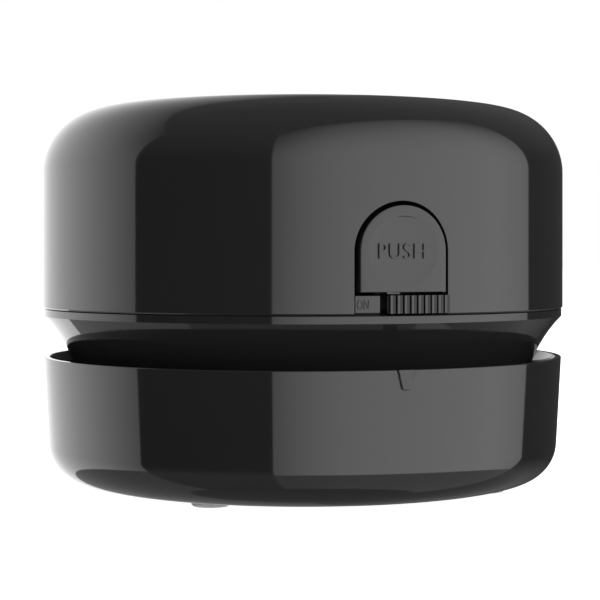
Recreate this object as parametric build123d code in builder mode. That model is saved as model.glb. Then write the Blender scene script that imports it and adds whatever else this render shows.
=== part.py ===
"""Desktop mini vacuum cleaner, 88 mm across, modelled as separate pieces.

Millimetres, +Z up.  The origin is on the table under the middle of the body, and the side with the push
button faces -Y.  Azimuths count in degrees from that front, positive to the right (towards +X).
A domed cover and a concave neck form the motor unit, which sits on an open dust bowl.  Air comes in at the
mouth under the bowl, through the filter and the fan, and leaves through the slots of the fan housing into the
ring gap inside the bowl's rim.
"""

import os
from math import asin, cos, degrees, radians, sin, sqrt

from build123d import *

# ---------------------------------------------------------------- outer form
body_r = 44.0  # cover radius at the seam
top_z = 63.7  # highest point of the dome
seam_z = 29.7  # parting line between cover and neck
crown = 1.4  # rise of the dome from its untrimmed edge to its middle
cover_fillet = 10.7  # shoulder radius of the dome
cover_wall = 2.0
seam_chamfer = 0.2

band_step = 0.2  # the neck's band stands back from the cover
band_height = 1.3
cove_radius = 23.0  # hollow of the neck, seen from the side
cove_depth = 6.5  # from the band to the radius towards which the cove runs
neck_wall = 1.6
skirt_reach = 2.1  # how far the neck's lower edge hangs into the bowl
spigot_wall = 1.45  # ring on the neck that centres the cover
spigot_reach = 2.8

bowl_z = 1.0  # underside of the bowl above the table
bowl_rim_z = 21.6
bowl_step = 0.35  # the bowl's rim stands back from the cover
bowl_draft = 1.15  # the wall leans in by this much down to the underside
bowl_fillet = 6.5
bowl_wall = 1.6
bowl_floor = 2.0
rim_width = 1.0
rim_taper = 2.2  # height over which the wall thins to the rim

# ---------------------------------------------------------------- clearances
slip = 0.15  # between pieces that are slid together
run_gap = 0.05  # radial, round a turning shaft
screw_gap = 0.05  # radial, round a screw in its hole
overrun = 1.0  # how far a cutting shape goes on past what it cuts
sink = 0.3  # how far added material reaches into what carries it

# ---------------------------------------------------------------- front arch, button and switch
arch_half = 7.53  # half width of the arch in the cover
arch_side = 9.3  # height of its upright sides, above the seam
button_gap = 0.65  # between arch and button
button_proud = 0.55  # the button's face stands proud of the cover
button_rise = 3.3  # foot of the button above the seam
button_travel = 2.0
button_depth = 4.4  # from the cover's face to the button's back
button_lip = 1.5  # how far the lip behind the cover reaches past the button's outline
lip_gap = 0.3  # between that lip and the cover's inside
dish_r = 5.2
dish_rise = 0.1  # middle of the dish above the middle of the arch's half round
dish_edge = 0.34  # depth of the dish at its edge
dish_depth = 0.8

track_depth = 1.6  # floor of the recess in which the knob slides
track_wall = 1.7
track_gap = 0.25  # below the button
track_side = 2.0  # how far the track plate reaches past the arch, behind the cover
tile_left, tile_right = -7.3, -3.53  # flush tile at the left of the track, measured round the cover
tile_depth = 0.1
knob_left, knob_right = -2.69, 7.14
knob_slide = 4.454
knob_rise = 0.25  # above the seam
knob_float = 0.15  # proud of the cover, at its back
knob_thick = 0.7
knob_rib_r = 0.42
knob_rib_pitch = 1.096
knob_ribs = 9
stem_place = 4.99
stem_width = 4.0
stem_rise = 0.55  # above the knob's lower edge
stem_height = 1.5
stem_depth = 4.0  # from the cover's face to where the stem forks
fork_gap = 2.46  # between the prongs
fork_reach = 3.1
slot_spare = 0.46  # the track's slot is longer than the stem's way by this much at each end
slot_gap = 0.25  # above and below the stem

# ---------------------------------------------------------------- fan level
deck_rise = 1.0  # underside of the motor deck above the bowl's rim
deck_thick = 1.8
exhaust_gap = 5.65  # between the fan housing and the bowl's wall
drum_height = 10.2
drum_wall = 1.4
plate_rise = 0.8  # inlet plate above the drum's lower edge
plate_thick = 1.2
eye_r = 9.0
eye_round = 0.8
vent_rise = 0.6  # slots above the inlet plate
vent_drop = 3.3  # slots below the deck
vent_width = 3.2
vent_count = 30
fan_room = 9.0  # between the fan and the drum, where the screw bosses stand
fan_gap = 0.8  # above and below the fan
fan_disc = 0.9
fan_eye_r = 9.6  # inner ends of the blades
fan_blades = 11
blade_thick = 0.9
blade_sweep = 48.0  # degrees by which a blade lags from root to tip
fan_hub_r = 3.0
shaft_r = 1.0
shaft_set = 0.4  # the shaft ends this far inside the fan's hub

# ---------------------------------------------------------------- seat, filter and dust chamber
seal_thick = 0.8
seal_width = 1.8
filter_drop = 1.8  # the filter frame hangs below the drum
filter_rim = 4.3
filter_edge = 0.5
filter_spokes = 6
spoke_thick = 0.8
cloth_thick = 1.6
mouth_r = 8.0
mouth_wall = 1.4
mouth_gap = 2.0  # between the mouth's upper edge and the filter
suction_r = 21.0  # hollow under the bowl, round the mouth
suction_height = 3.2
nozzle_wall = 1.8
gusset_count = 8
gusset_height = 2.6
gusset_thick = 1.2

# ---------------------------------------------------------------- latch
catch_gap = 0.5  # between the drum and the catch tongue
catch_thick = 1.6
catch_width = 7.9
catch_drop = 2.6  # below the rim
catch_base = 0.6  # the tongue's foot ends below the seat
catch_window = 5.8
catch_window_height = 2.4
catch_bridge = 0.7  # above that window
arm_width = 8.0
arm_inset = 5.6  # from the drum's inside to the back of the arm
arm_thick = 2.0
arm_tail = 0.4  # the arm goes on below its nose
arm_head = 1.4  # and above the button's boss
arm_gap = 0.4  # round the arm in its hole in the deck
nose_width = 5.0
nose_height = 2.2
nose_drop = 0.5  # below the upper edge of the tongue's window
nose_gap = 0.1  # the nose ends this far short of the tongue
nose_flat = 0.6  # upright part of its tip
nose_ramp = 2.2
nose_window_gap = 0.5  # beside the nose in the drum's window
boss_width = 6.0
boss_rise = 2.6  # above the button's foot
boss_height = 7.0
guide_wall = 1.4
guide_gap = 0.2
guide_reach = 1.8  # in front of the arm's back
guide_depth = 9.2  # behind it
guide_drop = 0.5  # below the arm's upper end
guide_foot = 4.0
guide_foot_length = 6.0
spring_r = 2.6
spring_wire = 0.25
spring_turns = 5
spring_pin_r = 1.7
spring_pin = 2.0

# ---------------------------------------------------------------- slide switch
switch_depth = 3.8
switch_width = 13.0
switch_foot = 2.0  # its body below the lever
switch_head = 1.7  # and above it
switch_gap = 1.1  # between its face and the tip of the fork
lever_width = 1.4
lever_gap = 0.1  # above and below the lever, inside the fork's height
lever_reach = 1.9  # past the tip of the fork
lever_root = 1.2  # depth to which the lever reaches into the body
switch_post = 2.0
switch_pin_pitch = 2.5
switch_pin = (0.5, 0.8, 2.0)

# ---------------------------------------------------------------- motor
motor_r = 12.1
motor_length = 25.2
motor_wall = 0.8
motor_edge = 0.6
motor_boss_r = 3.1
motor_boss = 1.4
magnet_gap = 0.4  # between magnets and armature
magnet_rise, magnet_drop = 3.6, 6.1  # from the can's ends
magnet_span = 130.0
armature_r = 9.3
armature_inset = 1.0  # shorter than the magnets at each end
armature_poles = 3
armature_slot = 2.4
commutator_r = 2.8
commutator_length = 4.0
cap_thick = 2.2
cap_inset = 0.4
cap_boss_r = 3.0
cap_boss = 1.4
terminal_x = 8.0
terminal_width = 2.2
terminal_thick = 0.4
terminal_height = 4.5
motor_screw_x = 8.0
motor_screw_r = 1.0
motor_screw_length = 3.0
motor_screw_head_r = 1.9
motor_screw_head = 0.9
shaft_edge = 0.2

# ---------------------------------------------------------------- battery, board and socket
cell_r = 5.1
cell_length = 44.5
cell_edge = 0.4
cell_cap_r = 2.2
cell_cap = 0.9
cell_gap = 1.3  # between motor and cell
cradle_floor = 1.0
cradle_wall = 0.9
cradle_end = 1.2
cradle_drop = 1.6  # its upper edge below the cell's middle
cradle_gap = 0.6  # to the neck's inside
contact_thick = 0.3
contact_width = 7.0
contact_height = 8.0
board_z = 42.0
board_thick = 1.2
board_width = 32.0
board_corner = 1.0
board_gap = 2.9  # between motor and board
board_inset = 6.6  # from the cover's face
board_post_x, board_post_inset = 13.0, 3.9
board_post_r = 2.2
chip_places = ((0, 11, 5, 4), (-9, 7, 4, 4), (8, 6, 6, 3))  # x, from the board's front edge, width, depth
chip_height = 1.6
socket_width, socket_height = 8.94, 3.2
socket_wall = 0.32
socket_back = 1.0
socket_length = 7.3
socket_recess = 0.7
socket_tongue = 0.7
light_inset = 6.5  # from the board's side
light_r = 1.1
light_collar_r = 1.8
light_collar = 1.6
led_size = 2.0
led_overhang = 0.8  # past the board's back edge

# ---------------------------------------------------------------- fasteners
boss_r = 2.6
cover_boss_inset = 9.5  # from the cover's inside
cover_screw_azimuths = (40, 100, -40, -100)
housing_screw_azimuths = (60, -60, 180)
housing_boss_r = 3.0
housing_boss_sink = 0.4  # into the drum's wall
housing_post = 4.0
screw_r = 0.95
screw_head_r = 1.9
screw_head = 1.2
screw_length = 8.0
screw_spare = 1.0  # the hole goes on past the screw's end
board_screw_length = 6.0
through_r = 1.2

# ---------------------------------------------------------------- underside
brush_inner_r = 14.5
brush_thick = 1.0
tuft_ring = 17.8
tuft_count = 24
tuft_r = 1.0
tuft_tip_r = 1.2
tuft_hole = 0.5
tuft_sides = 8
tuft_z = 0.15
pad_inset = 9.5  # from the bowl's untrimmed corner
pad_count = 4
pad_r = 3.0
pad_pocket = 0.5
pad_edge = 0.25

# ---------------------------------------------------------------- pointer mark
pointer_top = 2.8
pointer_foot = 1.1
pointer_length = 3.0
pointer_proud = 0.5


# ---------------------------------------------------------------- heights and radii that follow from these
band_r = body_r - band_step
cove_top_z = seam_z - band_height
neck_r = band_r - cove_depth
cove_axis_r = neck_r + cove_radius
cove_axis_z = cove_top_z - sqrt(cove_radius**2 - (cove_axis_r - band_r) ** 2)
skirt_z = bowl_rim_z - skirt_reach
spigot_r = body_r - cover_wall - slip
spigot_inner_r = spigot_r - spigot_wall
spigot_top_z = seam_z + spigot_reach
cavity_top_z = cove_axis_z + sqrt((cove_radius + neck_wall) ** 2 - (cove_axis_r - spigot_inner_r) ** 2)

bowl_rim_r = body_r - bowl_step
bowl_foot_r = bowl_rim_r - bowl_draft
floor_z = bowl_z + bowl_floor
pad_ring = bowl_foot_r - pad_inset
pointer_z = bowl_rim_z - pointer_length

deck_z = bowl_rim_z + deck_rise
deck_top = deck_z + deck_thick
drum_r = bowl_rim_r - bowl_wall - exhaust_gap
drum_inner_r = drum_r - drum_wall
drum_z = deck_z - drum_height
plate_z = drum_z + plate_rise
fan_floor_z = plate_z + plate_thick
vent_z, vent_top_z = fan_floor_z + vent_rise, deck_z - vent_drop
fan_r = drum_inner_r - fan_room
fan_z, fan_top_z = fan_floor_z + fan_gap, deck_z - fan_gap
shaft_z = fan_z + shaft_set
seat_z = drum_z - seal_thick  # top of the bowl's inner ring
filter_z = drum_z - filter_drop
mouth_top_z = filter_z - mouth_gap
suction_z = bowl_z + suction_height
nozzle_r = suction_r + nozzle_wall
nozzle_top_z = suction_z + nozzle_wall
gusset_end_r = bowl_foot_r - bowl_fillet + sqrt(bowl_fillet**2 - (bowl_fillet - bowl_floor) ** 2) - slip

catch_r = drum_r + catch_gap
catch_half = degrees(catch_width / 2 / (catch_r + catch_thick / 2))
catch_top_z = bowl_rim_z - catch_drop
catch_window_top_z = catch_top_z - catch_bridge
catch_window_z = catch_window_top_z - catch_window_height
nose_top_z = catch_window_top_z - nose_drop
nose_z = nose_top_z - nose_height
nose_tip_y = catch_r - nose_gap
button_z = seam_z + button_rise
boss_z = button_z + boss_rise
arm_y = drum_inner_r - arm_inset  # back face of the arm, from the axis
arm_z = nose_z - arm_tail
arm_top_z = boss_z + boss_height + arm_head
guide_front_y = arm_y + guide_reach
guide_back_y = arm_y - guide_depth
guide_top_z = arm_top_z - guide_drop

arch_spring_z = seam_z + arch_side  # where the arch's sides turn into the half round
dish_z = arch_spring_z + dish_rise
button_r = body_r + button_proud
button_back = body_r - button_depth
lip_r = body_r - cover_wall - lip_gap
track_r = body_r - track_depth
track_back_r = track_r - track_wall
track_top_z = button_z - track_gap
tile_r = body_r - tile_depth
knob_z, knob_top_z = seam_z + knob_rise, track_top_z - slip
knob_back_r = body_r + knob_float
knob_face_r = knob_back_r + knob_thick
stem_z = knob_z + stem_rise
stem_top_z = stem_z + stem_height
stem_back_r = body_r - stem_depth
fork_tip_r = stem_back_r - fork_reach
switch_y = fork_tip_r - switch_gap  # front face of the switch body
lever_z, lever_top_z = stem_z + lever_gap, stem_top_z - lever_gap
lever_tip_y = fork_tip_r + lever_reach
switch_z, switch_top_z = lever_z - switch_foot, lever_top_z + switch_head

motor_top_z = deck_top + motor_length
cap_top_z = motor_top_z + cap_thick / 2
magnet_inner_r = armature_r + magnet_gap
magnet_z, magnet_top_z = deck_top + magnet_rise, motor_top_z - magnet_drop
armature_z, armature_top_z = magnet_z + armature_inset, magnet_top_z - armature_inset
cell_y = motor_r + cell_gap + cell_r
cell_z = deck_top + cradle_floor + slip + cell_r
cradle_top_z = cell_z - cradle_drop
board_top_z = board_z + board_thick
board_front_y, board_back_y = motor_r + board_gap, body_r - board_inset
board_post_y = board_back_y - board_post_inset
led_y = board_back_y + led_overhang
light_x = board_width / 2 - light_inset
socket_z = board_top_z + socket_height / 2
socket_face_y = body_r - socket_recess
light_end_y = sqrt(body_r**2 - (light_x + light_r) ** 2)

cover_screw_ring = body_r - cover_wall - cover_boss_inset
housing_screw_ring = drum_inner_r + housing_boss_sink - housing_boss_r
housing_seat_z = plate_z + screw_head + slip


def turn(length):
    """Angle of a length measured round the cover, in degrees."""
    return degrees(length / body_r)


tile_from, tile_to = turn(tile_left), turn(tile_right)
knob_from, knob_to = turn(knob_left), turn(knob_right)
knob_middle = (knob_from + knob_to) / 2
knob_travel = turn(knob_slide)
stem_azimuth, stem_half = turn(stem_place), turn(stem_width / 2)
fork_half = turn(fork_gap / 2)
notch_edge = degrees(asin((arch_half - slip) / body_r))
track_edge = degrees(asin(arch_half / body_r)) + turn(track_side)
lever_ring = (lever_tip_y + fork_tip_r) / 2
lever_x = lever_ring * sin(radians(stem_azimuth))
lever_travel = lever_ring * cos(radians(stem_azimuth - knob_travel / 2)) * radians(knob_travel)
switch_x = lever_x - lever_travel / 2


def cove_r(z, wall=0.0):
    """Radius of the cove's surface at height z, or of the surface one wall inside it."""
    return cove_axis_r - sqrt((cove_radius + wall) ** 2 - (z - cove_axis_z) ** 2)


def cove_arc(z_from, z_to, wall=0.0):
    """The cove's curve in a BuildLine on the XZ plane."""
    middle = (z_from + z_to) / 2
    return ThreePointArc(*[(cove_r(z, wall), z) for z in (z_from, middle, z_to)])


def bowl_r(z, inset=0.0):
    """Radius of the bowl's drafted wall at height z."""
    draft = (bowl_rim_r - bowl_foot_r) / (bowl_rim_z - bowl_z)
    return bowl_foot_r + draft * (z - bowl_z) - inset


def at_azimuth(ring, azimuth):
    """Point on a circle of the body, as x and y."""
    return (ring * sin(radians(azimuth)), -ring * cos(radians(azimuth)))


def sector(r_inner, r_outer, azimuth_from, azimuth_to):
    """Ring sector in the current XY sketch."""
    with BuildLine() as outline:
        inner = CenterArc((0, 0), r_inner, azimuth_from - 90, azimuth_to - azimuth_from)
        outer = CenterArc((0, 0), r_outer, azimuth_from - 90, azimuth_to - azimuth_from)
        Line(inner @ 0, outer @ 0)
        Line(inner @ 1, outer @ 1)
    make_face(outline.edges())


def arch(half, z_foot, z_spring):
    """Arch in the current XZ sketch: upright sides under a half round."""
    with BuildLine() as outline:
        foot = Line((-half, z_foot), (half, z_foot))
        right = Line(foot @ 1, (half, z_spring))
        top = ThreePointArc(right @ 1, (0, z_spring + half), (-half, z_spring))
        Line(top @ 1, foot @ 0)
    make_face(outline.edges())


def ring(r_inner, r_outer):
    """Flat ring in the current sketch."""
    Circle(r_outer)
    Circle(r_inner, mode=Mode.SUBTRACT)


def cover_screw_places():
    return [at_azimuth(cover_screw_ring, a) for a in cover_screw_azimuths]


def housing_screw_places():
    return [at_azimuth(housing_screw_ring, a) for a in housing_screw_azimuths]


def vent_azimuths():
    """Every place of the ring of slots, apart from the hook's window and the screw bosses."""
    pitch = 360 / vent_count
    taken = [0, 360] + [azimuth % 360 for azimuth in housing_screw_azimuths]
    return [k * pitch for k in range(vent_count) if min(abs(k * pitch - t) for t in taken) > pitch / 2]


board_post_places = [(-board_post_x, board_post_y), (board_post_x, board_post_y)]
motor_screw_places = [(-motor_screw_x, 0), (motor_screw_x, 0)]

parts = []


def finish(builder, name):
    """Label a finished piece and keep it for export."""
    builder.part.label = name
    parts.append(builder.part)


# ================================================================ dust bowl
with BuildPart() as dust_bowl:
    with BuildSketch(Plane.XZ):
        with BuildLine():
            Line((0, bowl_rim_z), (0, bowl_z))
            foot = Line((0, bowl_z), (bowl_foot_r, bowl_z))
            Polyline(foot @ 1, (bowl_rim_r, bowl_rim_z), (0, bowl_rim_z))
        make_face()
        fillet(vertices().group_by(Axis.Y)[0].sort_by(Axis.X)[-1], bowl_fillet)
    revolve(axis=Axis.Z)
    # hollow, with the wall thinned towards the rim
    with BuildSketch(Plane.XZ):
        taper_z = bowl_rim_z - rim_taper
        with BuildLine():
            Polyline(
                (0, floor_z),
                (bowl_r(floor_z, bowl_wall), floor_z),
                (bowl_r(taper_z, bowl_wall), taper_z),
                (bowl_rim_r - rim_width, bowl_rim_z),
                (0, bowl_rim_z),
                close=True,
            )
        make_face()
        fillet(vertices().group_by(Axis.Y)[0].sort_by(Axis.X)[-1], bowl_fillet - bowl_wall)
    revolve(axis=Axis.Z, mode=Mode.SUBTRACT)
    # seat ring for the motor unit, with gussets to the floor
    with BuildSketch(Plane.XY.offset(floor_z)):
        ring(drum_inner_r, drum_r)
    extrude(amount=seat_z - floor_z)
    with BuildSketch(Plane.XY.offset(floor_z)):
        with PolarLocations(drum_r - drum_wall / 2, gusset_count, start_angle=180 / gusset_count):
            Rectangle(gusset_end_r - drum_r + drum_wall / 2, gusset_thick, align=(Align.MIN, Align.CENTER))
    extrude(amount=gusset_height)
    # round hole for the suction nozzle
    with BuildSketch(Plane.XY.offset(bowl_z)):
        Circle(suction_r)
    extrude(amount=bowl_floor, mode=Mode.SUBTRACT)
    # catch tongue in the ring gap, with its window
    with BuildSketch(Plane.XY.offset(floor_z)):
        sector(catch_r, catch_r + catch_thick, -catch_half, catch_half)
    extrude(amount=catch_top_z - floor_z)
    with BuildSketch(Plane.XY.offset(floor_z)):
        sector(drum_r - drum_wall / 2, catch_r + catch_thick, -catch_half, catch_half)
    extrude(amount=seat_z - catch_base - floor_z)
    with BuildSketch(Plane.XZ.offset(drum_r)):
        with Locations((0, catch_window_z)):
            Rectangle(catch_window, catch_window_top_z - catch_window_z, align=(Align.CENTER, Align.MIN))
    extrude(amount=catch_gap + catch_thick + overrun, mode=Mode.SUBTRACT)
    # pointer mark on the outer wall
    with BuildSketch(Plane.XZ.offset(bowl_r(pointer_z, bowl_wall / 2))):
        with BuildLine():
            Polyline(
                (-pointer_top / 2, bowl_rim_z),
                (-pointer_foot / 2, pointer_z),
                (pointer_foot / 2, pointer_z),
                (pointer_top / 2, bowl_rim_z),
                close=True,
            )
        make_face()
    extrude(amount=bowl_rim_r + pointer_proud - bowl_r(pointer_z, bowl_wall / 2))
    # pockets for the glide pads
    with BuildSketch(Plane.XY.offset(bowl_z)):
        with PolarLocations(pad_ring, pad_count, start_angle=180 / pad_count):
            Circle(pad_r + slip)
    extrude(amount=pad_pocket, mode=Mode.SUBTRACT)
finish(dust_bowl, "dust_bowl")

# nozzle welded on the bowl's floor: a roof over the suction hollow, with the mouth's chimney in its middle
with BuildPart() as intake_nozzle:
    with BuildSketch(Plane.XZ):
        with BuildLine():
            Polyline(
                (mouth_r, suction_z),
                (mouth_r, mouth_top_z),
                (mouth_r + mouth_wall, mouth_top_z),
                (mouth_r + mouth_wall, nozzle_top_z),
                (nozzle_r, nozzle_top_z),
                (nozzle_r, floor_z),
                (suction_r, floor_z),
                (suction_r, suction_z),
                close=True,
            )
        make_face()
    revolve(axis=Axis.Z)
finish(intake_nozzle, "intake_nozzle")

with BuildPart() as glide_pads:
    with BuildSketch(Plane.XY):
        with PolarLocations(pad_ring, pad_count, start_angle=180 / pad_count):
            Circle(pad_r)
    extrude(amount=bowl_z + pad_pocket)
    chamfer(glide_pads.faces().group_by(Axis.Z)[0].edges(), pad_edge)
finish(glide_pads, "glide_pads")

with BuildPart() as brush_plate:
    with BuildSketch(Plane.XY.offset(suction_z - brush_thick)):
        ring(brush_inner_r, suction_r - slip)
    extrude(amount=brush_thick)
    with BuildSketch(Plane.XY.offset(suction_z - brush_thick)):
        with PolarLocations(tuft_ring, tuft_count):
            RegularPolygon(tuft_r + screw_gap, tuft_sides)
    extrude(amount=tuft_hole, mode=Mode.SUBTRACT)
finish(brush_plate, "brush_plate")

with BuildPart() as brush_tufts:
    tuft_length = suction_z - brush_thick + tuft_hole - tuft_z
    tuft_spread = -degrees(asin((tuft_tip_r - tuft_r) / tuft_length))
    with BuildSketch(Plane.XY.offset(suction_z - brush_thick + tuft_hole)):
        with PolarLocations(tuft_ring, tuft_count):
            RegularPolygon(tuft_r, tuft_sides)
    extrude(amount=-tuft_hole)
    with BuildSketch(Plane.XY.offset(suction_z - brush_thick)):
        with PolarLocations(tuft_ring, tuft_count):
            RegularPolygon(tuft_r, tuft_sides)
    extrude(amount=-(suction_z - brush_thick - tuft_z), taper=tuft_spread)
finish(brush_tufts, "brush_tufts")

# ================================================================ neck housing
with BuildPart() as neck_housing:
    with BuildSketch(Plane.XZ):
        with BuildLine():
            Line((0, skirt_z), (cove_r(skirt_z), skirt_z))
            cove = cove_arc(skirt_z, cove_top_z)
            Polyline(
                cove @ 1,
                (band_r, seam_z),
                (spigot_r, seam_z),
                (spigot_r, spigot_top_z),
                (0, spigot_top_z),
                (0, skirt_z),
            )
        make_face()
        chamfer(vertices().sort_by(Axis.X).filter_by_position(Axis.Y, seam_z, seam_z)[-1], seam_chamfer)
    revolve(axis=Axis.Z)
    # hollow above the deck
    with BuildSketch(Plane.XZ):
        with BuildLine():
            Line((0, deck_top), (cove_r(deck_top, neck_wall), deck_top))
            cove = cove_arc(deck_top, cavity_top_z, neck_wall)
            Polyline(cove @ 1, (spigot_inner_r, spigot_top_z), (0, spigot_top_z), (0, deck_top))
        make_face()
    revolve(axis=Axis.Z, mode=Mode.SUBTRACT)
    # hollow under the deck, for the fan housing
    with BuildSketch(Plane.XZ):
        with BuildLine():
            Line((0, skirt_z), (cove_r(skirt_z, neck_wall), skirt_z))
            cove = cove_arc(skirt_z, deck_z, neck_wall)
            Polyline(cove @ 1, (0, deck_z), (0, skirt_z))
        make_face()
    revolve(axis=Axis.Z, mode=Mode.SUBTRACT)
    # the spigot is cut away behind the arch
    with BuildSketch(Plane.XY.offset(seam_z)):
        sector(spigot_inner_r - overrun, spigot_r + slip, -track_edge - overrun, track_edge + overrun)
    extrude(amount=spigot_top_z - seam_z, mode=Mode.SUBTRACT)
    # posts on the deck: board, housing screws and slide switch
    with BuildSketch(Plane.XY.offset(deck_top)):
        with Locations(*board_post_places):
            Circle(board_post_r)
    extrude(amount=board_z - deck_top)
    with BuildSketch(Plane.XY.offset(deck_top)):
        with Locations(*housing_screw_places()):
            Circle(boss_r)
    extrude(amount=housing_post)
    with BuildSketch(Plane.XY.offset(deck_top)):
        for side in (-1, 1):
            post_x = switch_x + side * (switch_width - switch_post) / 2
            with Locations((post_x, -switch_y + switch_depth / 2)):
                Rectangle(switch_post, switch_depth)
    extrude(amount=switch_z - deck_top)
    # holes through the deck
    with BuildSketch(Plane.XY.offset(deck_z)):
        Circle(motor_boss_r + slip)
        with Locations(*motor_screw_places):
            Circle(motor_screw_r + screw_gap)
        with Locations(*cover_screw_places()):
            Circle(through_r)
        with Locations((0, -arm_y - arm_thick / 2 + button_travel / 2)):
            Rectangle(arm_width + 2 * arm_gap, arm_thick + button_travel + 2 * arm_gap)
    extrude(amount=deck_thick, mode=Mode.SUBTRACT)
    with BuildSketch(Plane.XY.offset(deck_z)):
        with Locations(*motor_screw_places):
            Circle(motor_screw_head_r + slip)
    extrude(amount=motor_screw_head, mode=Mode.SUBTRACT)
    with BuildSketch(Plane.XY.offset(deck_z)):
        with Locations(*housing_screw_places()):
            Circle(screw_r + screw_gap)
    extrude(amount=deck_thick + housing_post, mode=Mode.SUBTRACT)
    with BuildSketch(Plane.XY.offset(board_z)):
        with Locations(*board_post_places):
            Circle(screw_r + screw_gap)
    extrude(amount=-board_screw_length, mode=Mode.SUBTRACT)
finish(neck_housing, "neck_housing")

# ================================================================ top cover
with BuildPart() as top_cover:
    with BuildSketch(Plane.XZ):
        with BuildLine():
            edge = Line((0, seam_z), (body_r, seam_z))
            side = Line(edge @ 1, (body_r, top_z - crown))
            dome = TangentArc((0, top_z), side @ 1, tangent=(1, 0))
            Line((0, top_z), edge @ 0)
        make_face()
        fillet(vertices().group_by(Axis.X)[-1].sort_by(Axis.Y)[-1], cover_fillet)
    revolve(axis=Axis.Z)
    offset(amount=-cover_wall, openings=top_cover.faces().sort_by(Axis.Z)[0])
    # screw bosses from the deck up into the dome
    with BuildSketch(Plane.XY.offset(deck_top)):
        with Locations(*cover_screw_places()):
            Circle(boss_r)
    extrude(amount=top_z - cover_wall / 2 - crown / 2 - deck_top)
    with BuildSketch(Plane.XY.offset(deck_top)):
        with Locations(*cover_screw_places()):
            Circle(screw_r + screw_gap)
    extrude(amount=screw_length, mode=Mode.SUBTRACT)
    # arch for the button and the switch
    with BuildSketch(Plane.XZ.offset(button_back)):
        arch(arch_half, seam_z, arch_spring_z)
    extrude(amount=button_depth + overrun, mode=Mode.SUBTRACT)
    # holes at the back for the charging socket and its light
    with BuildSketch(Plane.XZ.offset(-board_back_y)):
        with Locations((0, socket_z)):
            SlotOverall(socket_width + 2 * slip, socket_height + 2 * slip)
        with Locations((light_x, socket_z)):
            Circle(light_r + screw_gap)
    extrude(amount=-board_inset - overrun, mode=Mode.SUBTRACT)
    chamfer(
        top_cover.edges().filter_by(lambda e: abs(e.center().Z - seam_z) < 1e-4 and e.length > 2 * body_r),
        seam_chamfer,
    )
finish(top_cover, "top_cover")

# ================================================================ fan housing, seal and filter
with BuildPart() as fan_housing:
    with BuildSketch(Plane.XY.offset(drum_z)):
        ring(drum_inner_r, drum_r)
    extrude(amount=deck_z - drum_z)
    with BuildSketch(Plane.XY.offset(plate_z)):
        Circle(drum_inner_r)
    extrude(amount=plate_thick)
    with BuildSketch(Plane.XY.offset(fan_floor_z)):
        with Locations(*housing_screw_places()):
            Circle(housing_boss_r)
    extrude(amount=deck_z - fan_floor_z)
    with BuildSketch(Plane.XY.offset(plate_z)):
        Circle(eye_r)
    extrude(amount=plate_thick, mode=Mode.SUBTRACT)
    inlet_edge = fan_housing.edges().filter_by(GeomType.CIRCLE)
    fillet(inlet_edge.filter_by(lambda e: abs(e.radius - eye_r) < 1e-4).sort_by(Axis.Z)[0], eye_round)
    # counterbored screw holes, from below
    with BuildSketch(Plane.XY.offset(plate_z)):
        with Locations(*housing_screw_places()):
            Circle(through_r)
    extrude(amount=deck_z - plate_z, mode=Mode.SUBTRACT)
    with BuildSketch(Plane.XY.offset(plate_z)):
        with Locations(*housing_screw_places()):
            Circle(screw_head_r + slip)
    extrude(amount=housing_seat_z - plate_z, mode=Mode.SUBTRACT)
    # air slots all round, and the wider window for the hook at the front
    with BuildSketch(Plane.YZ.offset(drum_inner_r - overrun)):
        with Locations((0, (vent_z + vent_top_z) / 2)):
            Rectangle(vent_width, vent_top_z - vent_z)
    slot = extrude(amount=drum_wall + 2 * overrun, mode=Mode.PRIVATE)
    with Locations(*[Location((0, 0, 0), (0, 0, azimuth - 90)) for azimuth in vent_azimuths()]):
        add(slot, mode=Mode.SUBTRACT)
    with BuildSketch(Plane.XZ.offset(drum_inner_r - overrun)):
        with Locations((0, (vent_z + vent_top_z) / 2)):
            Rectangle(nose_width + 2 * nose_window_gap, vent_top_z - vent_z)
    extrude(amount=drum_wall + 2 * overrun, mode=Mode.SUBTRACT)
finish(fan_housing, "fan_housing")

with BuildPart() as seal_ring:
    with BuildSketch(Plane.XY.offset(seat_z)):
        ring(drum_inner_r - (seal_width - drum_wall) / 2, drum_inner_r + (seal_width + drum_wall) / 2)
    extrude(amount=seal_thick)
finish(seal_ring, "seal_ring")

with BuildPart() as filter_frame:
    frame_r = drum_inner_r - (seal_width - drum_wall) / 2 - slip
    with BuildSketch(Plane.XY.offset(filter_z)):
        ring(frame_r - filter_rim, frame_r)
    extrude(amount=plate_z - filter_z)
    with BuildSketch(Plane.XY.offset(filter_z)):
        Circle(mouth_r / 2)
        with PolarLocations(0, filter_spokes):
            Rectangle(frame_r - filter_rim / 2, spoke_thick * 2, align=(Align.MIN, Align.CENTER))
    extrude(amount=spoke_thick)
    fillet(filter_frame.edges().group_by(Axis.Z)[0].sort_by(SortBy.LENGTH)[-1], filter_edge)
finish(filter_frame, "filter_frame")

with BuildPart() as filter_cloth:
    with BuildSketch(Plane.XY.offset(filter_z + spoke_thick)):
        Circle(frame_r - filter_rim - slip)
    extrude(amount=cloth_thick)
finish(filter_cloth, "filter_cloth")


def blade_face():
    """Plan of one backward-curved fan blade in the current XY sketch."""
    reach = (fan_r - fan_eye_r) / 2
    root = (fan_eye_r, 0)
    tip = (fan_r * cos(radians(blade_sweep)), -fan_r * sin(radians(blade_sweep)))
    bow_r = fan_eye_r + reach
    bow = (bow_r * cos(radians(blade_sweep / 3)), -bow_r * sin(radians(blade_sweep / 3)))
    with BuildLine() as outline:
        ThreePointArc(root, bow, tip)
    trace(outline.line, blade_thick)


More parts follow.
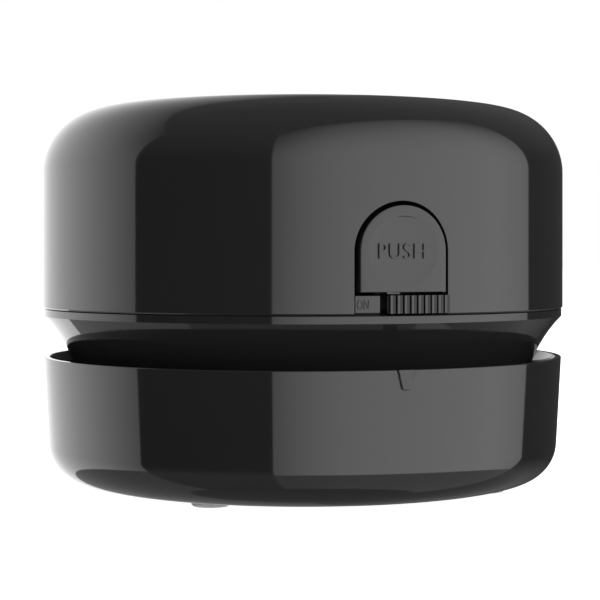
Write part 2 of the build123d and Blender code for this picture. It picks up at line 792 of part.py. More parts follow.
with BuildPart() as impeller:
    with BuildSketch(Plane.XY.offset(fan_top_z)):
        Circle(fan_r)
    extrude(amount=-fan_disc)
    with BuildSketch(Plane.XY.offset(fan_z)):
        blade_face()
    blade = extrude(amount=fan_top_z - fan_disc - fan_z, mode=Mode.PRIVATE)
    with PolarLocations(0, fan_blades):
        add(blade)
    with BuildSketch(Plane.XY.offset(fan_z)):
        Circle(fan_hub_r)
    extrude(amount=fan_top_z - fan_z)
    with BuildSketch(Plane.XY.offset(fan_z)):
        Circle(shaft_r)
    extrude(amount=fan_top_z - fan_z, mode=Mode.SUBTRACT)
finish(impeller, "impeller")

# ================================================================ motor
with BuildPart() as motor_can:
    with BuildSketch(Plane.XY.offset(deck_top)):
        Circle(motor_r)
    extrude(amount=motor_length)
    chamfer(motor_can.edges().group_by(Axis.Z)[0], motor_edge)
    with BuildSketch(Plane.XY.offset(deck_top - motor_boss)):
        Circle(motor_boss_r)
    extrude(amount=motor_boss)
    with BuildSketch(Plane.XY.offset(deck_top + motor_wall)):
        Circle(motor_r - motor_wall)
    extrude(amount=motor_length - motor_wall, mode=Mode.SUBTRACT)
    with BuildSketch(Plane.XY.offset(deck_top - motor_boss)):
        Circle(shaft_r + run_gap)
    extrude(amount=motor_boss + motor_wall, mode=Mode.SUBTRACT)
    with BuildSketch(Plane.XY.offset(deck_top)):
        with Locations(*motor_screw_places):
            Circle(motor_screw_r + screw_gap)
    extrude(amount=motor_wall, mode=Mode.SUBTRACT)
finish(motor_can, "motor_can")

with BuildPart() as motor_magnets:
    with BuildSketch(Plane.XY.offset(magnet_z)):
        for middle in (90, -90):
            sector(magnet_inner_r, motor_r - motor_wall, middle - magnet_span / 2, middle + magnet_span / 2)
    extrude(amount=magnet_top_z - magnet_z)
finish(motor_magnets, "motor_magnets")

with BuildPart() as motor_armature:
    with BuildSketch(Plane.XY.offset(armature_z)):
        Circle(armature_r)
        with PolarLocations(armature_r, armature_poles):
            Rectangle(armature_r, armature_slot, mode=Mode.SUBTRACT)
    extrude(amount=armature_top_z - armature_z)
    with BuildSketch(Plane.XY.offset(armature_top_z)):
        Circle(commutator_r)
    extrude(amount=commutator_length)
    with BuildSketch(Plane.XY.offset(armature_z)):
        Circle(shaft_r)
    extrude(amount=armature_top_z + commutator_length - armature_z, mode=Mode.SUBTRACT)
finish(motor_armature, "motor_armature")

with BuildPart() as motor_end_cap:
    with BuildSketch(Plane.XY.offset(motor_top_z)):
        Circle(motor_r - cap_inset)
    extrude(amount=cap_thick / 2)
    with BuildSketch(Plane.XY.offset(motor_top_z)):
        Circle(motor_r - motor_wall - screw_gap)
    extrude(amount=-cap_thick / 2)
    with BuildSketch(Plane.XY.offset(cap_top_z)):
        Circle(cap_boss_r)
    extrude(amount=cap_boss)
    with BuildSketch(Plane.XY.offset(motor_top_z - cap_thick / 2)):
        Circle(shaft_r + run_gap)
    extrude(amount=cap_thick + cap_boss, mode=Mode.SUBTRACT)
    with BuildSketch(Plane.XY.offset(cap_top_z)):
        for side in (-1, 1):
            with Locations((side * terminal_x, 0)):
                Rectangle(terminal_thick, terminal_width)
    extrude(amount=-cap_thick / 2, mode=Mode.SUBTRACT)
finish(motor_end_cap, "motor_end_cap")

with BuildPart() as motor_terminals:
    with BuildSketch(Plane.XY.offset(cap_top_z - cap_thick / 2)):
        for side in (-1, 1):
            with Locations((side * terminal_x, 0)):
                Rectangle(terminal_thick, terminal_width)
    extrude(amount=cap_thick / 2 + terminal_height)
finish(motor_terminals, "motor_terminals")

with BuildPart() as motor_shaft:
    with BuildSketch(Plane.XY.offset(shaft_z)):
        Circle(shaft_r)
    extrude(amount=cap_top_z + cap_boss - shaft_z)
    chamfer(motor_shaft.edges().filter_by(GeomType.CIRCLE), shaft_edge)
finish(motor_shaft, "motor_shaft")


# ================================================================ fasteners
def screw_solids(places, seat, head, shank, length, up=1):
    """Pan head screws: heads below their seat, or above it where up is -1, and shanks that go on past it."""
    with BuildSketch(Plane.XY.offset(seat)) as heads:
        with Locations(*places):
            Circle(head[0])
    extrude(heads.sketch, amount=-up * head[1])
    with BuildSketch(Plane.XY.offset(seat)) as shanks:
        with Locations(*places):
            Circle(shank)
    extrude(shanks.sketch, amount=up * length)


with BuildPart() as cover_screws:
    length = deck_thick + screw_length - screw_spare
    screw_solids(cover_screw_places(), deck_z, (screw_head_r, screw_head), screw_r, length)
finish(cover_screws, "cover_screws")

with BuildPart() as housing_screws:
    length = deck_top + housing_post - screw_spare - housing_seat_z
    screw_solids(housing_screw_places(), housing_seat_z, (screw_head_r, screw_head), screw_r, length)
finish(housing_screws, "housing_screws")

with BuildPart() as motor_screws:
    seat = deck_z + motor_screw_head
    head = (motor_screw_head_r, motor_screw_head)
    screw_solids(motor_screw_places, seat, head, motor_screw_r, motor_screw_length)
finish(motor_screws, "motor_screws")

with BuildPart() as board_screws:
    head = (screw_head_r, screw_head)
    screw_solids(board_post_places, board_top_z, head, screw_r, board_screw_length, up=-1)
finish(board_screws, "board_screws")

# ================================================================ battery, board and socket
with BuildPart() as battery_cell:
    with BuildSketch(Plane.YZ.offset(-cell_length / 2)):
        with Locations((cell_y, cell_z)):
            Circle(cell_r)
    extrude(amount=cell_length)
    chamfer(battery_cell.edges().filter_by(GeomType.CIRCLE), cell_edge)
    with BuildSketch(Plane.YZ.offset(cell_length / 2)):
        with Locations((cell_y, cell_z)):
            Circle(cell_cap_r)
    extrude(amount=cell_cap)
finish(battery_cell, "battery_cell")

contact_left = -cell_length / 2 - contact_thick
contact_right = cell_length / 2 + cell_cap
with BuildPart() as battery_contacts:
    for face_x in (contact_left, contact_right):
        with BuildSketch(Plane.YZ.offset(face_x)):
            with Locations((cell_y, deck_top + cradle_floor)):
                Rectangle(contact_width, contact_height, align=(Align.CENTER, Align.MIN))
        extrude(amount=contact_thick)
finish(battery_contacts, "battery_contacts")

with BuildPart() as battery_cradle:
    cradle_from = contact_left - cradle_end
    cradle_to = contact_right + contact_thick + cradle_end
    cradle_half = cell_r + slip + cradle_wall
    with BuildSketch(Plane.YZ.offset(cradle_from)):
        with Locations((cell_y, deck_top)):
            Rectangle(2 * cradle_half, cradle_top_z - deck_top, align=(Align.CENTER, Align.MIN))
    extrude(amount=cradle_to - cradle_from)
    with BuildSketch(Plane.YZ.offset(contact_left)):
        with Locations((cell_y, cell_z)):
            Circle(cell_r + slip)
    extrude(amount=contact_right - contact_left + contact_thick, mode=Mode.SUBTRACT)
    for face_x in (contact_left, contact_right):
        with BuildSketch(Plane.YZ.offset(face_x)):
            with Locations((cell_y, deck_top + cradle_floor)):
                Rectangle(contact_width, contact_height, align=(Align.CENTER, Align.MIN))
        extrude(amount=contact_thick, mode=Mode.SUBTRACT)
    with BuildSketch(Plane.XY.offset(deck_top)):
        Circle(cove_r(deck_top, neck_wall) - cradle_gap)
    extrude(amount=cradle_top_z - deck_top, mode=Mode.INTERSECT)
finish(battery_cradle, "battery_cradle")

with BuildPart() as control_board:
    with BuildSketch(Plane.XY.offset(board_z)):
        with Locations((0, (board_front_y + board_back_y) / 2)):
            Rectangle(board_width, board_back_y - board_front_y)
    extrude(amount=board_thick)
    chamfer(control_board.edges().filter_by(Axis.Z), board_corner)
    with BuildSketch(Plane.XY.offset(board_z)):
        with Locations(*board_post_places):
            Circle(screw_r + screw_gap)
    extrude(amount=board_thick, mode=Mode.SUBTRACT)
    # charger chip, inductor, charge light
    with BuildSketch(Plane.XY.offset(board_top_z)):
        for chip_x, chip_y, chip_width, chip_depth in chip_places:
            with Locations((chip_x, board_front_y + chip_y)):
                Rectangle(chip_width, chip_depth)
    extrude(amount=chip_height)
    with BuildSketch(Plane.XY.offset(board_top_z)):
        with Locations((light_x, led_y - led_size / 2)):
            Rectangle(led_size, led_size)
    extrude(amount=socket_height / 2 + light_r)
finish(control_board, "control_board")

with BuildPart() as charge_socket:
    with BuildSketch(Plane.XZ.offset(-(socket_face_y - socket_length))):
        with Locations((0, socket_z)):
            SlotOverall(socket_width, socket_height)
    extrude(amount=-socket_length)
    with BuildSketch(Plane.XZ.offset(-(socket_face_y - socket_length + socket_back))):
        with Locations((0, socket_z)):
            SlotOverall(socket_width - 2 * socket_wall, socket_height - 2 * socket_wall)
            Rectangle(socket_width - socket_height, socket_tongue, mode=Mode.SUBTRACT)
    extrude(amount=socket_back - socket_length, mode=Mode.SUBTRACT)
finish(charge_socket, "charge_socket")

with BuildPart() as charge_light_pipe:
    with BuildSketch(Plane.XZ.offset(-led_y)):
        with Locations((light_x, socket_z)):
            Circle(light_r)
    extrude(amount=led_y - light_end_y)
    with BuildSketch(Plane.XZ.offset(-led_y)):
        with Locations((light_x, socket_z)):
            Circle(light_collar_r)
    extrude(amount=-light_collar)
finish(charge_light_pipe, "charge_light_pipe")

# ================================================================ release button and latch
with BuildPart() as button_face:
    with BuildSketch(Plane.XZ.offset(button_back)):
        arch(arch_half - button_gap, button_z, arch_spring_z)
    extrude(amount=button_depth + button_proud)
    with BuildSketch(Plane.XY.offset(button_z)):
        Circle(button_r)
    extrude(amount=arch_spring_z + arch_half - button_z, mode=Mode.INTERSECT)
    # round dish for the finger tip, turned about an axis square to the button
    dish_axis = Axis((0, 0, dish_z), (0, 1, 0))
    with BuildSketch(Plane.XY.offset(dish_z)):
        with BuildLine():
            dish = ThreePointArc(
                (-dish_r, -button_r + dish_edge), (0, -button_r + dish_depth), (dish_r, -button_r + dish_edge)
            )
            Polyline(dish @ 1, (dish_r, -button_r - overrun), (-dish_r, -button_r - overrun), dish @ 0)
        make_face()
        split(bisect_by=Plane.YZ)
    revolve(axis=dish_axis, mode=Mode.SUBTRACT)

with BuildPart() as release_button:
    with BuildSketch(Plane.XZ.offset(button_back)):
        arch(arch_half - button_gap + button_lip, button_z, arch_spring_z)
    extrude(amount=button_depth)
    with BuildSketch(Plane.XY.offset(button_z)):
        Circle(lip_r)
    extrude(amount=arch_spring_z + arch_half + button_lip - button_z, mode=Mode.INTERSECT)
    add(button_face.part)
    with BuildSketch(Plane.XZ.offset(arm_y + arm_thick)):
        with Locations((0, boss_z)):
            Rectangle(boss_width, boss_height, align=(Align.CENTER, Align.MIN))
    extrude(amount=button_back - arm_y - arm_thick)
finish(release_button, "release_button")

with BuildPart() as latch_arm:
    with BuildSketch(Plane.XZ.offset(arm_y)):
        with Locations((0, arm_z)):
            Rectangle(arm_width, arm_top_z - arm_z, align=(Align.CENTER, Align.MIN))
    extrude(amount=arm_thick)
    # hook nose: flat on top, ramped below so that it rides over the tongue
    with BuildSketch(Plane.YZ.offset(-nose_width / 2)):
        with BuildLine():
            Polyline(
                (-arm_y - arm_thick, nose_top_z),
                (-nose_tip_y, nose_top_z),
                (-nose_tip_y, nose_top_z - nose_flat),
                (-nose_tip_y + nose_ramp, nose_z),
                (-arm_y - arm_thick, nose_z),
                close=True,
            )
        make_face()
    extrude(amount=nose_width)
    with BuildSketch(Plane.XY.offset(arm_z)):
        Circle(nose_tip_y)
    extrude(amount=arm_top_z - arm_z, mode=Mode.INTERSECT)
    with BuildSketch(Plane.XZ.offset(arm_y)):
        with Locations((0, arch_spring_z)):
            Circle(spring_pin_r)
    extrude(amount=-spring_pin)
finish(latch_arm, "latch_arm")

with BuildPart() as latch_guide:
    guide_inner = arm_width / 2 + guide_gap
    guide_outer = guide_inner + guide_wall
    with BuildSketch(Plane.XY.offset(deck_top)):
        with Locations((0, -guide_front_y)):
            Rectangle(
                2 * guide_outer, guide_front_y - guide_back_y + guide_wall, align=(Align.CENTER, Align.MIN)
            )
            Rectangle(
                2 * guide_inner,
                guide_front_y - guide_back_y,
                align=(Align.CENTER, Align.MIN),
                mode=Mode.SUBTRACT,
            )
    extrude(amount=guide_top_z - deck_top)
    with BuildSketch(Plane.XY.offset(deck_top)):
        for side in (-1, 1):
            with Locations((side * (guide_outer + guide_foot / 2), -(guide_front_y + guide_back_y) / 2)):
                Rectangle(guide_foot, guide_foot_length)
    extrude(amount=guide_wall)
    with BuildSketch(Plane.XZ.offset(guide_back_y)):
        with Locations((0, arch_spring_z)):
            Circle(spring_pin_r)
    extrude(amount=spring_pin)
finish(latch_guide, "latch_guide")

with BuildPart() as latch_spring:
    spring_length = arm_y - guide_back_y - 2 * spring_wire
    with BuildLine():
        coil = Helix(
            pitch=spring_length / spring_turns,
            height=spring_length,
            radius=spring_r,
            center=(0, -guide_back_y - spring_wire, arch_spring_z),
            direction=(0, -1, 0),
        )
    with BuildSketch(Plane(origin=coil @ 0, z_dir=coil % 0)):
        RegularPolygon(spring_wire, 6)
    sweep()
finish(latch_spring, "latch_spring")

# ================================================================ switch
with BuildPart() as switch_plate:
    with BuildSketch(Plane.XY.offset(seam_z)):
        sector(track_back_r, spigot_r, -track_edge, track_edge)
    extrude(amount=track_top_z - seam_z)
    with BuildSketch(Plane.XY.offset(seam_z)):
        sector(spigot_r - sink, track_r, -notch_edge, notch_edge)
    extrude(amount=track_top_z - seam_z)
    with BuildSketch(Plane.XY.offset(seam_z)):
        sector(track_r - sink, tile_r, tile_from, tile_to)
    extrude(amount=track_top_z - seam_z)
    # slot for the knob's stem
    with BuildSketch(Plane.XY.offset(stem_z - slot_gap)):
        slot_from = stem_azimuth - stem_half - knob_travel - turn(slot_spare)
        slot_to = stem_azimuth + stem_half + turn(slot_spare)
        sector(track_back_r - overrun, track_r + overrun, slot_from, slot_to)
    extrude(amount=stem_height + 2 * slot_gap, mode=Mode.SUBTRACT)
finish(switch_plate, "switch_plate")

with BuildPart() as switch_knob:
    with BuildSketch(Plane.XY.offset(knob_z)):
        sector(knob_back_r, knob_face_r, knob_from, knob_to)
        for rib in range(knob_ribs):
            rib_azimuth = knob_middle + (rib - (knob_ribs - 1) / 2) * turn(knob_rib_pitch)
            with Locations(at_azimuth(knob_face_r, rib_azimuth)):
                Circle(knob_rib_r)
    extrude(amount=knob_top_z - knob_z)
    with BuildSketch(Plane.XY.offset(stem_z)):
        sector(stem_back_r, knob_back_r + sink, stem_azimuth - stem_half, stem_azimuth + stem_half)
        sector(fork_tip_r, stem_back_r + sink, stem_azimuth - stem_half, stem_azimuth - fork_half)
        sector(fork_tip_r, stem_back_r + sink, stem_azimuth + fork_half, stem_azimuth + stem_half)
    extrude(amount=stem_height)
finish(switch_knob, "switch_knob")

with BuildPart() as slide_switch:
    with BuildSketch(Plane.XZ.offset(switch_y)):
        with Locations((switch_x, switch_z)):
            Rectangle(switch_width, switch_top_z - switch_z, align=(Align.CENTER, Align.MIN))
    extrude(amount=-switch_depth)
    with BuildSketch(Plane.XZ.offset(switch_y)):
        with Locations((switch_x, (lever_z + lever_top_z) / 2)):
            Rectangle(lever_travel + lever_width + 2 * slip, lever_top_z - lever_z + 2 * slip)
    extrude(amount=-lever_root - slip, mode=Mode.SUBTRACT)
    with BuildSketch(Plane.XY.offset(switch_z)):
        for pin in (-1, 0, 1):
            with Locations((switch_x + pin * switch_pin_pitch, -switch_y + switch_depth / 2)):
                Rectangle(switch_pin[0], switch_pin[1])
    extrude(amount=-switch_pin[2])
finish(slide_switch, "slide_switch")

with BuildPart() as switch_lever:
    with BuildSketch(Plane.XZ.offset(switch_y - lever_root)):
        with Locations((lever_x, (lever_z + lever_top_z) / 2)):
            Rectangle(lever_width, lever_top_z - lever_z)
    extrude(amount=lever_tip_y - switch_y + lever_root)
finish(switch_lever, "switch_lever")

# ================================================================ export
os.makedirs("parts", exist_ok=True)
for piece in parts:
    export_step(piece, f"parts/{piece.label}.step")
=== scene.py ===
# %% [markdown]
# # A desktop mini vacuum cleaner
# The object is a black tool for crumbs, about as wide as a palm: a domed cover over a hollow neck, on an open
# bowl. The solids that make it work come from the frame and stay where they are. This lesson gives each of
# them its finish, models the glossy shells again with fine meshes, and sets up the studio round them.
# Everything is in metres: the origin is on the table under the middle, and the front faces -Y.

# %% Load the frame
import math

import bmesh
import bpy
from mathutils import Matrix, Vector


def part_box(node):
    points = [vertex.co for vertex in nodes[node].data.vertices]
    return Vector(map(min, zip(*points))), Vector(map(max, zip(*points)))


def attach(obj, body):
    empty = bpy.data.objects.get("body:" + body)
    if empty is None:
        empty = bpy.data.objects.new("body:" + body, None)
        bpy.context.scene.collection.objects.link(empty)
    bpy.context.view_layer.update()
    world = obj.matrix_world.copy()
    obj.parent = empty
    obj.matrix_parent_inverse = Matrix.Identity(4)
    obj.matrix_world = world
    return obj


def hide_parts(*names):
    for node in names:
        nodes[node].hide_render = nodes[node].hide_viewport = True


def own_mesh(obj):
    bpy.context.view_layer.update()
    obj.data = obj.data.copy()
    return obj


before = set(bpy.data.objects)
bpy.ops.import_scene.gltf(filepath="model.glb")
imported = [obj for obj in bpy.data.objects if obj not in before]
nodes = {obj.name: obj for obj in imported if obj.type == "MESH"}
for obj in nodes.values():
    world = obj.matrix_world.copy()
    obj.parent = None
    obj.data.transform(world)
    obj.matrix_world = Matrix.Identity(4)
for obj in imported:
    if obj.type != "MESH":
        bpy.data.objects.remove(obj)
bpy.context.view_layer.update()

mm = 0.001

# %% [markdown]
# Sizes that two pieces share are read from the frame, so that a new mesh always meets what carries it.

# %% Shared sizes from the frame
body_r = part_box("top_cover")[1].x
top_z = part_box("top_cover")[1].z
boss_foot_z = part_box("top_cover")[0].z
seam_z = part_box("switch_plate")[0].z
bowl_z, rim_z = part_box("dust_bowl")[0].z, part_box("dust_bowl")[1].z
rim_trim = 0.1 * mm  # what the rim's rounding takes off its radius
bowl_rim_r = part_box("dust_bowl")[1].x + rim_trim
print("cover radius", round(body_r / mm, 2), "seam at", round(seam_z / mm, 2), "rim at", round(rim_z / mm, 2))

# %% [markdown]
# ## Mesh helpers
# The shells are turned forms. A lathe or a Screw modifier could turn them, but both leave one even grid, and a
# glossy wall shows every stray corner where a hole is cut into such a grid. So each shell is built here as rows
# of points that bend round its holes, and the rows are welded into one closed skin.

# %% Points round the body's axis
column_step = 1.5  # degrees between the columns of a turned shell


def polar(radius, azimuth):
    """Point on a circle round the axis; azimuths count from the front, positive to the right."""
    turn = math.radians(azimuth)
    return radius * math.sin(turn), -radius * math.cos(turn)


def steps(start, end, count):
    """Evenly spaced values from start to end, both kept."""
    return [start + (end - start) * k / count for k in range(count + 1)]


all_columns = [column_step * k for k in range(round(360 / column_step))]
print(len(all_columns), "columns")

# %% [markdown]
# An outline is a list of corners with a rounding each. The helper puts an arc into every rounded corner, so the
# outline holds only the points that its shape needs.

# %% Outlines with rounded corners


def rounded(corners, angle_step=5.0, small=1.0 * mm, small_step=22.5):
    """Closed outline through (radius, height, rounding) corners."""
    outline = []
    for k, (x, z, rounding) in enumerate(corners):
        corner = Vector((x, z))
        if not rounding:
            outline.append((x, z))
            continue
        back = (Vector(corners[k - 1][:2]) - corner).normalized()
        ahead = (Vector(corners[(k + 1) % len(corners)][:2]) - corner).normalized()
        half = back.angle(ahead) / 2
        centre = corner + (back + ahead).normalized() * rounding / math.sin(half)
        first = corner + back * rounding / math.tan(half) - centre
        last = corner + ahead * rounding / math.tan(half) - centre
        start = math.atan2(first.y, first.x)
        sweep = (math.atan2(last.y, last.x) - start + math.pi) % (2 * math.pi) - math.pi
        count = max(2, round(abs(math.degrees(sweep)) / (small_step if rounding < small else angle_step)))
        for turn in steps(start, start + sweep, count):
            outline.append((centre.x + rounding * math.cos(turn), centre.y + rounding * math.sin(turn)))
    return outline


# %% [markdown]
# A skin is a list of points and a list of faces. Rows of equally many points make one: the helper joins each row
# to the next with four-sided faces. A turned skin has one row for each point of its outline.

# %% Skins

def skin(rows, closed=False):
    """Faces between rows of equally many points; closed joins the last column to the first."""
    width = len(rows[0])
    points = [point for row in rows for point in row]
    faces = []
    for r in range(len(rows) - 1):
        for c in range(width if closed else width - 1):
            d = (c + 1) % width
            faces.append((r * width + c, r * width + d, (r + 1) * width + d, (r + 1) * width + c))
    return points, faces


def turned(outline, centre=(0.0, 0.0), columns=None):
    """Closed skin of an outline of (radius, height) turned round an upright axis."""
    columns = columns or all_columns
    rows = []
    for radius, z in outline + outline[:1]:
        rows.append([(centre[0] + polar(radius, a)[0], centre[1] + polar(radius, a)[1], z) for a in columns])
    return skin(rows, closed=True)


# %% [markdown]
# Several skins make one shell. They are welded where they meet, and bmesh turns the faces of the closed shell
# outwards. Smooth shading would smear light from a broad wall over a small rounded edge, so the Weighted Normal
# modifier lets the broad faces rule.

# %% From skins to pieces
weld = 0.002 * mm


def shape(name, skins):
    """Mesh of one closed shell: its skins are welded and turned outwards."""
    work = bmesh.new()
    for points, faces in skins:
        corners = [work.verts.new(point) for point in points]
        for face in faces:
            work.faces.new([corners[k] for k in face])
    bmesh.ops.remove_doubles(work, verts=work.verts, dist=weld)
    bmesh.ops.delete(work, geom=[e for e in work.edges if not e.link_faces], context="EDGES")
    bmesh.ops.recalc_face_normals(work, faces=work.faces)
    return finished_mesh(name, work)


def finished_mesh(name, work):
    """Plain mesh of the work, which says so where it isn't closed."""
    if any(len(edge.link_faces) != 2 for edge in work.edges):
        print("open edges in", name)
    mesh = bpy.data.meshes.new(name)
    work.to_mesh(mesh)
    work.free()
    return mesh


def linked(name, data):
    """New object in the scene."""
    obj = bpy.data.objects.new(name, data)
    bpy.context.scene.collection.objects.link(obj)
    return obj


def piece(name, shells, sharp=40.0, grown=()):
    """One object from closed shells, each a list of skins, and from grown meshes."""
    whole = bmesh.new()
    for part in [shape(name, shell) for shell in shells] + list(grown):
        whole.from_mesh(part)
    return shaded(finished_mesh(name, whole), name, sharp)


def shaded(mesh, name, sharp=40.0):
    """An object of the mesh, smooth up to the sharp angle, with broad faces ruling its normals."""
    mesh.shade_smooth()
    mesh.set_sharp_from_angle(angle=math.radians(sharp))
    obj = linked(name, mesh)
    rule = obj.modifiers.new("broad faces rule", "WEIGHTED_NORMAL")
    rule.keep_sharp = True
    rule.weight = 80
    print(name, len(mesh.vertices), "points,", len(mesh.polygons), "faces")
    return obj


# %% [markdown]
# ## Finishes
# Moulded plastic is never one flat value. A tool leaves faint differences of polish, and handling leaves a film.
# One node group gives that to every moulded piece: a roughness that drifts, a height for a Bump node and a shade
# that mixes two near colours. A painted texture could do it too, but this one works at any distance.

# %% Node helpers


def add(tree, kind, inputs=None, **settings):
    """Adds a node; inputs, by name or number, hold a socket to link or a value to set."""
    node = tree.nodes.new(kind)
    for label, value in settings.items():
        setattr(node, label, value)
    for label, value in (inputs or {}).items():
        if isinstance(value, bpy.types.NodeSocket):
            tree.links.new(value, node.inputs[label])
        else:
            node.inputs[label].default_value = value
    return node


def calc(tree, operation, *values, **settings):
    """Output of a new Math node."""
    return add(tree, "ShaderNodeMath", dict(enumerate(values)), operation=operation, **settings).outputs[0]


def vector(tree, *values):
    """Output of a new Combine XYZ node."""
    return add(tree, "ShaderNodeCombineXYZ", dict(enumerate(values))).outputs[0]


def noise(tree, place, scale, detail):
    """Output of a new Noise Texture node."""
    return add(tree, "ShaderNodeTexNoise", {"Vector": place, "Scale": scale, "Detail": detail}).outputs[0]


def effect_group(name, inputs):
    """Empty shader group with a Vector input, number inputs, and the outputs Roughness, Height and Shade."""
    group = bpy.data.node_groups.new(name, "ShaderNodeTree")
    group.interface.new_socket("Vector", in_out="INPUT", socket_type="NodeSocketVector")
    for label, value in inputs.items():
        socket = group.interface.new_socket(label, in_out="INPUT", socket_type="NodeSocketFloat")
        socket.default_value = value
    for label in ("Roughness", "Height", "Shade"):
        group.interface.new_socket(label, in_out="OUTPUT", socket_type="NodeSocketFloat")
    return group, group.nodes.new("NodeGroupInput").outputs


def drifting(group, given, centred):
    """The group's Roughness, which drifts with a noise that is centred on nought."""
    wander = calc(group, "MULTIPLY", centred, given["Drift"])
    return calc(group, "ADD", given["Roughness"], wander, use_clamp=True)


def give(group, **results):
    """Links the group's results to its outputs."""
    end = group.nodes.new("NodeGroupOutput")
    for label, socket in results.items():
        group.links.new(socket, end.inputs[label])


# %% Moulded plastic
moulded, given = effect_group("moulded plastic", {"Scale": 200.0, "Roughness": 0.3, "Drift": 0.1})
cloud = noise(moulded, given["Vector"], given["Scale"], 4.0)
broad = noise(moulded, given["Vector"], 45.0, 2.0)
centred = calc(moulded, "SUBTRACT", calc(moulded, "ADD", cloud, broad), 1.0)
give(moulded, Roughness=drifting(moulded, given, centred), Height=cloud, Shade=broad)

# %% [markdown]
# Drawn and turned metal carries fine lines. Noise stretched along one axis gives them: the group squeezes the
# coordinates before the noise reads them, and a second, rounder noise breaks the lines up.

# %% Drawn metal
drawn, given = effect_group("drawn metal", {"Along": 200.0, "Across": 6000.0, "Roughness": 0.3, "Drift": 0.15})
squeeze = vector(drawn, given["Across"], given["Across"], given["Along"])
spread = add(drawn, "ShaderNodeVectorMath", {0: given["Vector"], 1: squeeze}, operation="MULTIPLY")
lines = noise(drawn, spread.outputs[0], 1.0, 3.0)
stain = noise(drawn, given["Vector"], 300.0, 3.0)
give(drawn, Roughness=drifting(drawn, given, calc(drawn, "SUBTRACT", lines, 0.5)), Height=lines, Shade=stain)

# %% [markdown]
# The filter is a felted cloth with a square weave behind it. Two crossed waves make the weave, and noise on top
# of them makes it fluffy.

# %% Woven felt
woven, given = effect_group("woven felt", {"Threads": 2200.0, "Fluff": 0.5, "Roughness": 0.9})
grid = add(woven, "ShaderNodeVectorMath", {0: given["Vector"], "Scale": given["Threads"]}, operation="SCALE")
sides = add(woven, "ShaderNodeSeparateXYZ", {0: grid.outputs[0]})
warp, weft = calc(woven, "SINE", sides.outputs[0]), calc(woven, "SINE", sides.outputs[1])
fluff = noise(woven, given["Vector"], 1800.0, 5.0)
hair = calc(woven, "MULTIPLY", fluff, given["Fluff"])
height = calc(woven, "ADD", calc(woven, "MULTIPLY", warp, weft), hair)
give(woven, Roughness=given["Roughness"], Height=height, Shade=fluff)
print("effects", [group.name for group in bpy.data.node_groups])

# %% [markdown]
# A finish is a Principled shader with one of these effects in front of it. Numbers that are the same all over
# stay on the shader's own sockets. Only what drifts over the surface comes through the group.

# %% Finish helper
finishes = {}


def finish(slot, effect, colour, tint, depth, values, **sockets):
    """A material for a slot: two near colours, an effect with its values, and constants for the shader."""
    material = bpy.data.materials.new(slot.replace("_", " "))
    material.use_nodes = True
    tree = material.node_tree
    shader = tree.nodes["Principled BSDF"]
    place = add(tree, "ShaderNodeTexCoord")
    work = add(tree, "ShaderNodeGroup", node_tree=effect)
    tree.links.new(place.outputs["Object"], work.inputs["Vector"])
    for label, value in values.items():
        work.inputs[label].default_value = value
    colours = add(tree, "ShaderNodeMix", {0: work.outputs["Shade"], 6: (*colour, 1), 7: (*tint, 1)}, data_type="RGBA")
    bump = add(tree, "ShaderNodeBump", {"Height": work.outputs["Height"], "Strength": 1.0, "Distance": depth})
    tree.links.new(colours.outputs[2], shader.inputs["Base Color"])
    tree.links.new(work.outputs["Roughness"], shader.inputs["Roughness"])
    tree.links.new(bump.outputs["Normal"], shader.inputs["Normal"])
    for label, value in sockets.items():
        shader.inputs[label.replace("_", " ")].default_value = value
    finishes[slot] = material
    return material


# %% [markdown]
# The cover, neck, bowl, button and knob are black ABS from a polished mould. Its mirror is sharp, so roughness
# and bump stay tiny. The hidden black parts have a spark-eroded, duller skin.

# %% Black plastics
finish("gloss_black", moulded, (0.0115, 0.0115, 0.0118), (0.0130, 0.0130, 0.0134), 0.0004 * mm,
       {"Scale": 90.0, "Roughness": 0.055, "Drift": 0.02}, IOR=1.5)
finish("matte_black", moulded, (0.014, 0.014, 0.015), (0.022, 0.022, 0.023), 0.012 * mm,
       {"Scale": 2600.0, "Roughness": 0.48, "Drift": 0.2})

# %% [markdown]
# The other plastics keep the colours that such parts have: off-white frames and fan, a grey latch, and the clear
# rod that carries the charging light to the wall.

# %% Pale and clear plastics
finish("arm_grey", moulded, (0.20, 0.205, 0.21), (0.24, 0.245, 0.25), 0.008 * mm,
       {"Scale": 2200.0, "Roughness": 0.42, "Drift": 0.15})
finish("frame_white", moulded, (0.68, 0.68, 0.66), (0.76, 0.76, 0.74), 0.006 * mm,
       {"Scale": 1800.0, "Roughness": 0.38, "Drift": 0.15})
finish("fan_white", moulded, (0.62, 0.63, 0.64), (0.72, 0.73, 0.74), 0.005 * mm,
       {"Scale": 1500.0, "Roughness": 0.33, "Drift": 0.15})
finish("clear_plastic", moulded, (0.93, 0.95, 0.96), (0.97, 0.98, 0.98), 0.001 * mm,
       {"Scale": 400.0, "Roughness": 0.06, "Drift": 0.05}, Transmission_Weight=0.9, IOR=1.49)

# %% [markdown]
# Soft parts: a black lip seal and pale felt glide pads. Both scatter light in a broad sheen.

# %% Rubber and pads
finish("seal_rubber", moulded, (0.018, 0.018, 0.019), (0.030, 0.030, 0.031), 0.02 * mm,
       {"Scale": 3500.0, "Roughness": 0.78, "Drift": 0.25}, Sheen_Weight=0.15)
finish("pad_grey", woven, (0.70, 0.70, 0.70), (0.80, 0.80, 0.80), 0.05 * mm,
       {"Threads": 5200.0, "Fluff": 1.4, "Roughness": 0.92}, Sheen_Weight=0.3)

# %% [markdown]
# Bristles are thin nylon with a soft shine, and the filter is a pale felt that fluffs at its threads.

